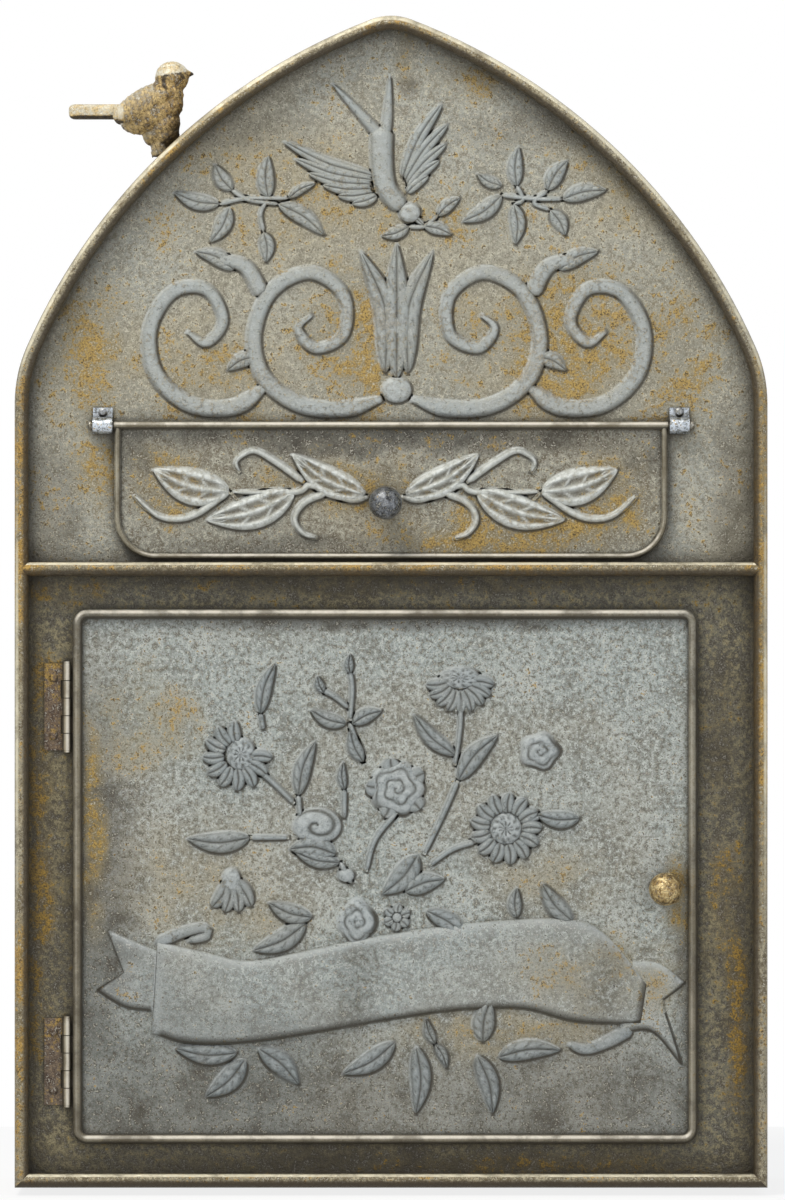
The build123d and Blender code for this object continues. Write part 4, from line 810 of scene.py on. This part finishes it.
for points in faceSettings["sprigStems"]:
    stem(faceRelief, points, **faceSettings["sprigLook"])
for tip, base, width in faceSettings["sprigLeaves"]:
    leaf(faceRelief, tip, base, width, faceSettings["sprigRise"])
for side in (1, -1):
    for points in faceSettings["scrollStems"]:
        route = [mirrored(spot, faceSettings["middle"], side) for spot in points]
        stem(faceRelief, route, **faceSettings["scrollLook"])
    for tip, base, width in faceSettings["scrollLeaves"]:
        ends = [mirrored(spot, faceSettings["middle"], side) for spot in (tip, base)]
        leaf(faceRelief, *ends, width, faceSettings["scrollRise"],
             faceSettings["scrollBend"] * side, faceSettings["scrollVeins"])
leaf(faceRelief, **faceSettings["uprightLeaf"])
boss(faceRelief, **faceSettings["knot"])
for tip, base, width in reversed(faceSettings["feathers"]):
    leaf(faceRelief, tip, base, width, **faceSettings["featherLook"])
for points in faceSettings["tailFeathers"]:
    stem(faceRelief, points, **faceSettings["tailLook"])
stem(faceRelief, **faceSettings["body"])
boss(faceRelief, **faceSettings["head"])
leaf(faceRelief, **faceSettings["beak"])
faceRelief.finish("face_swallow_and_scrolls", "case", faceZinc, "aged_zinc")
print("ornament pressed")

# Bird: cast iron, gilt once, on the left of the arch. Places are in millimetres from its seat,
# forward and up, and its feathers are rows of low scales.
birdSettings = {
    "seat": (-79.9, 81.2, 370.0), "voxel": 0.00042, "easeRounds": 7,
    "lumps": [  # forward, up, half length, half height, half depth, turn
        (-5.5, 13.4, 12.0, 7.0, 7.6, 24), (-8.6, 17.0, 11.4, 4.9, 5.4, 31),
        (-1.6, 14.8, 6.4, 7.4, 6.9, 0), (-0.4, 19.8, 6.2, 6.2, 6.0, 0), (1.6, 25.9, 6.1, 5.8, 5.6, 0),
        (-1.4, 9.4, 6.0, 6.6, 6.2, 0), (-0.6, 6.0, 5.0, 5.4, 5.4, 0), (-4.6, 5.6, 4.6, 3.9, 4.4, 40)],
    "wing": (-9.0, 15.8, 11.4, 4.6, 2.4, 27), "wingAside": 5.8,
    "eye": (3.9, 26.0, 1.0, 1.0, 0.8, 0), "eyeAside": 4.9,
    "foot": (-2.4, 1.4, 3.8, 3.6, 7.0, -10),  # forward, up, two radii, length, turn
    "beak": (7.6, 27.2, 2.1, 0.4, 3.6, 97),
    "tailMiddle": (-24.9, 13.6), "tailSize": (20.4, 8.4, 5.0), "tailRound": 0.0017,
    "scaleLength": 1.9, "scaleWidth": 1.9, "scaleRise": 0.32, "tailGroove": 0.16, "grooveWidth": 2.8,
    "tailFrom": -15.5, "headFrom": -5.0, "headUp": 21.0, "capUp": 27.2, "capSlope": 0.16,
    "eyeRing": (2.4, 24.0), "ringReach": (3.0, 4.4), "ringUp": 25.2, "beakFrom": 8.2,
    "capCrown": 0.95, "tailTopHighlight": 0.75, "ringGrime": 0.85, "beakTintAndTailShade": 0.9,
    "arcMiddle": (71.5, 210.4), "arcRadius": 220.1}  # the band's outer face under its foot
birdSeat = place(*birdSettings["seat"])
birdForm = bmesh.new()


def birdPlace(forward, rise):
    return Matrix.Translation(birdSeat + Vector((forward, 0, rise)) / 1000)


def lump(forward, rise, long, tall, deep, turn=0.0, aside=0.0):
    ball = bmesh.ops.create_uvsphere(birdForm, u_segments=24, v_segments=16, radius=0.001)
    shape = (birdPlace(forward, rise) @ Matrix.Translation((0, aside / 1000, 0))
             @ Matrix.Rotation(radians(-turn), 4, "Y") @ Matrix.Diagonal((long, deep, tall, 1)))
    bmesh.ops.transform(birdForm, matrix=shape, verts=ball["verts"])


def taper(forward, rise, radius, endRadius, length, turn):
    cone = bmesh.ops.create_cone(birdForm, cap_ends=True, segments=24, radius1=radius / 1000,
                                 radius2=endRadius / 1000, depth=length / 1000)
    shape = birdPlace(forward, rise) @ Matrix.Rotation(radians(turn), 4, "Y")
    bmesh.ops.transform(birdForm, matrix=shape, verts=cone["verts"])


for ball in birdSettings["lumps"]:
    lump(*ball)
for side in (1, -1):
    lump(*birdSettings["wing"], birdSettings["wingAside"] * side)
    lump(*birdSettings["eye"], birdSettings["eyeAside"] * side)
taper(*birdSettings["foot"])
taper(*birdSettings["beak"])
tail = bmesh.ops.create_cube(birdForm, size=0.001)
tailShape = birdPlace(*birdSettings["tailMiddle"]) @ Matrix.Diagonal((*birdSettings["tailSize"], 1))
bmesh.ops.transform(birdForm, matrix=tailShape, verts=tail["verts"])
tailEdges = list({edge for vert in tail["verts"] for edge in vert.link_edges})
bmesh.ops.bevel(birdForm, geom=tailEdges, offset=birdSettings["tailRound"], affect="EDGES",
                segments=4, profile=0.5, material=-1)
birdMesh = bpy.data.meshes.new("cast_bird")
birdForm.to_mesh(birdMesh)
birdForm.free()
bird = bpy.data.objects.new("cast_bird", birdMesh)
bpy.context.collection.objects.link(bird)

# One skin over the lumps, eased, and kept as the bird's mesh
skin = bird.modifiers.new("skin", "REMESH")
skin.mode = "VOXEL"
skin.voxel_size = birdSettings["voxel"]
ease = bird.modifiers.new("ease", "SMOOTH")
ease.factor = 0.5
ease.iterations = birdSettings["easeRounds"]
bpy.context.view_layer.update()
cast = bpy.data.meshes.new_from_object(bird.evaluated_get(bpy.context.evaluated_depsgraph_get()))
bird.modifiers.clear()
bird.data = cast
cast.name = "cast_bird"


# Gives a point's lift along its normal, its crown with painted highlights and its grime with painted shade
def feathering(forward, aside, rise, normal):
    onTail = forward < birdSettings["tailFrom"]
    onHead = rise > birdSettings["headUp"] and forward > birdSettings["headFrom"]
    cap = onHead and rise > birdSettings["capUp"] + birdSettings["capSlope"] * (forward - 3.0)
    row = (forward * 0.95 + rise * 0.3) / birdSettings["scaleLength"]
    lane = (rise * 0.95 - forward * 0.3 + abs(aside) * 0.6) / birdSettings["scaleWidth"]
    lane += 0.5 * (int(row // 1) % 2)
    along, across = row % 1, lane % 1 - 0.5
    scale = along * (1 - 2.4 * across * across)
    lift = birdSettings["scaleRise"] * (scale - 0.4) * (0.35 if onHead else 1.0)
    if onTail:
        lift = birdSettings["tailGroove"] * cos(2 * pi * aside / birdSettings["grooveWidth"])
    crownAndHighlight = 0.0
    if cap:
        crownAndHighlight = birdSettings["capCrown"]
    # The top of the tail gets a painted highlight
    elif onTail:
        crownAndHighlight = birdSettings["tailTopHighlight"] if normal.z > -0.35 else 0.0
    elif not onHead:
        # Scales that face up and left get a painted highlight
        lit = 0.25 - 0.45 * normal.x + 0.75 * normal.z
        crownAndHighlight = min(0.9, max(0.0, lit)) * (0.25 + 0.75 * scale)
    grimeAndShade = 0.25 * (1 - along) if not onTail and not cap else 0.0
    ring = hypot(forward - birdSettings["eyeRing"][0], rise - birdSettings["eyeRing"][1])
    inRing = birdSettings["ringReach"][0] < ring < birdSettings["ringReach"][1]
    if onHead and not cap and inRing and (rise > birdSettings["ringUp"] or forward < 0.0):
        grimeAndShade = birdSettings["ringGrime"]
    # The beak is dark of its own; the tail's underside gets painted shade
    if forward > birdSettings["beakFrom"] or (onTail and normal.z < -0.55):
        grimeAndShade = birdSettings["beakTintAndTailShade"]
    return lift, crownAndHighlight, grimeAndShade


crowns = cast.attributes.new("crownAndHighlight", "FLOAT", "POINT")
grimes = cast.attributes.new("grimeAndShade", "FLOAT", "POINT")
normals = [vert.normal.copy() for vert in cast.vertices]
arcMiddle = place(birdSettings["arcMiddle"][0], 0, birdSettings["arcMiddle"][1])
for vert, normal in zip(cast.vertices, normals):
    lift, crownAndHighlight, grimeAndShade = feathering(*(vert.co - birdSeat) * 1000, normal)
    vert.co += normal * lift / 1000
    crowns.data[vert.index].value = crownAndHighlight
    grimes.data[vert.index].value = grimeAndShade
    # The foot stands on the band and doesn't reach into it
    reach = Vector((vert.co.x - arcMiddle.x, vert.co.z - arcMiddle.z))
    short = birdSettings["arcRadius"] / 1000 - reach.length
    if short > 0:
        push = reach.normalized() * short
        vert.co.x += push.x
        vert.co.z += push.y
for polygon in cast.polygons:
    polygon.use_smooth = True
cast.materials.append(birdGilt)
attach(bird, "case")
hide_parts("bird_figure")
print("bird cast", len(cast.polygons), "faces")


# Rays that show the backdrop: the camera's own, those that metal reflects and those through glass
def seenRays(tree):
    rays = addNode(tree, "LightPath").outputs
    shown = 0.0
    for kind in ("Is Camera Ray", "Is Glossy Ray", "Is Transmission Ray"):
        shown = addNode(tree, "Math", {0: shown, 1: rays[kind]}, operation="MAXIMUM").outputs[0]
    return shown


# Floor, board painted matt white: it shows as nearly white and keeps the object's shadow
floorSettings = {
    "halfSize": 1.1, "middle": (0, -0.8), "gap": 0.0002,  # metres
    "tones": ("#fafaf9", "#fdfdfd"), "cell": 166.7,  # millimetres, size of the brush's clouds
    "rough": 0.9, "glow": 0.82}
floorMesh = bpy.data.meshes.new("floor")
floorForm = bmesh.new()
bmesh.ops.create_grid(floorForm, x_segments=1, y_segments=1, size=floorSettings["halfSize"])
floorForm.to_mesh(floorMesh)
floorForm.free()
floor = bpy.data.objects.new("floor", floorMesh)
bpy.context.collection.objects.link(floor)
floor.location = (*floorSettings["middle"], cadBox[0][2] - floorSettings["gap"])
floorPaint, floorTree = startMaterial("floor_pale_paint")
floorClouds = addNode(floorTree, "TexNoise", {
    "Vector": addNode(floorTree, "TexCoord").outputs["Object"], "Scale": 1000 / floorSettings["cell"],
    "Detail": 3.0, "Roughness": 0.55})
floorTones = [colour(code) for code in floorSettings["tones"]]
floorTone = addNode(floorTree, "Mix", {0: floorClouds.outputs["Fac"], 6: floorTones[0], 7: floorTones[1]},
                    data_type="RGBA")
floorSurface = addNode(floorTree, "BsdfPrincipled", {
    "Base Color": floorTone.outputs[2], "Roughness": floorSettings["rough"]})
floorGlow = addNode(floorTree, "Emission", {"Color": (1, 1, 1, 1), "Strength": 1.0})
floorSeen = addNode(floorTree, "MixShader", {
    0: product(floorTree, [seenRays(floorTree), floorSettings["glow"]]),
    1: floorSurface.outputs[0], 2: floorGlow.outputs[0]})
addNode(floorTree, "OutputMaterial", {"Surface": floorSeen.outputs[0]})
floorMesh.materials.append(floorPaint)

# A pale sky that lights the object at a plain level and is white where it is seen
worldSettings = {"tone": "#dfe3ea", "strength": 0.5}
world = bpy.data.worlds.new("studio")
bpy.context.scene.world = world
world.use_nodes = True
sky = world.node_tree
sky.nodes.clear()
dim = addNode(sky, "Background", {
    "Color": colour(worldSettings["tone"]), "Strength": worldSettings["strength"]})
white = addNode(sky, "Background", {"Color": (1, 1, 1, 1), "Strength": 1.0})
seen = addNode(sky, "MixShader", {0: seenRays(sky), 1: dim.outputs[0], 2: white.outputs[0]})
addNode(sky, "OutputWorld", {"Surface": seen.outputs[0]})

# Softboxes: where each stands and what it is aimed at in metres, its size, watts and tint
lampSettings = {
    "key": ((-0.55, -0.8, 1.4), (0, -0.09, 0.05), (0.6, 0.4), 18.5, "#fffaf2"),
    "fill": ((1.2, -1.6, 0.5), (0, -0.09, 0.0), (1.0, 1.0), 5.6, "#f0f4ff"),
    "low": ((-0.3, -1.8, -0.1), (0, -0.09, 0.0), (1.2, 0.6), 3.0, "#ffffff")}
for name, (spot, aim, size, power, tint) in lampSettings.items():
    softbox = bpy.data.lights.new(name, "AREA")
    softbox.shape = "RECTANGLE"
    softbox.size, softbox.size_y = size
    softbox.energy = power
    softbox.color = colour(tint)[:3]
    lamp = bpy.data.objects.new(name, softbox)
    bpy.context.collection.objects.link(lamp)
    lamp.location = spot
    lamp.rotation_euler = (Vector(aim) - Vector(spot)).to_track_quat("-Z", "Y").to_euler()

# Camera: level with the object's middle, square to its face, at the photograph's framing
cameraSettings = {
    "x": 0.0005, "height": 0.0342, "facePlane": 0.095, "distance": 3.0,  # metres
    "frameHeight": 0.4268, "farthest": 20.0,  # metres too
    "sensor": 36.0}  # millimetres
camera = bpy.data.objects.new("camera", bpy.data.cameras.new("camera"))
bpy.context.collection.objects.link(camera)
camera.data.sensor_fit = "VERTICAL"
camera.data.sensor_height = cameraSettings["sensor"]
camera.data.lens = cameraSettings["sensor"] * cameraSettings["distance"] / cameraSettings["frameHeight"]
camera.data.clip_end = cameraSettings["farthest"]
camera.location = (cameraSettings["x"], -cameraSettings["facePlane"] - cameraSettings["distance"],
                   cameraSettings["height"])
camera.rotation_euler = (radians(90), 0, 0)
bpy.context.scene.camera = camera
bpy.context.scene.view_settings.view_transform = "Standard"
print("studio lit")
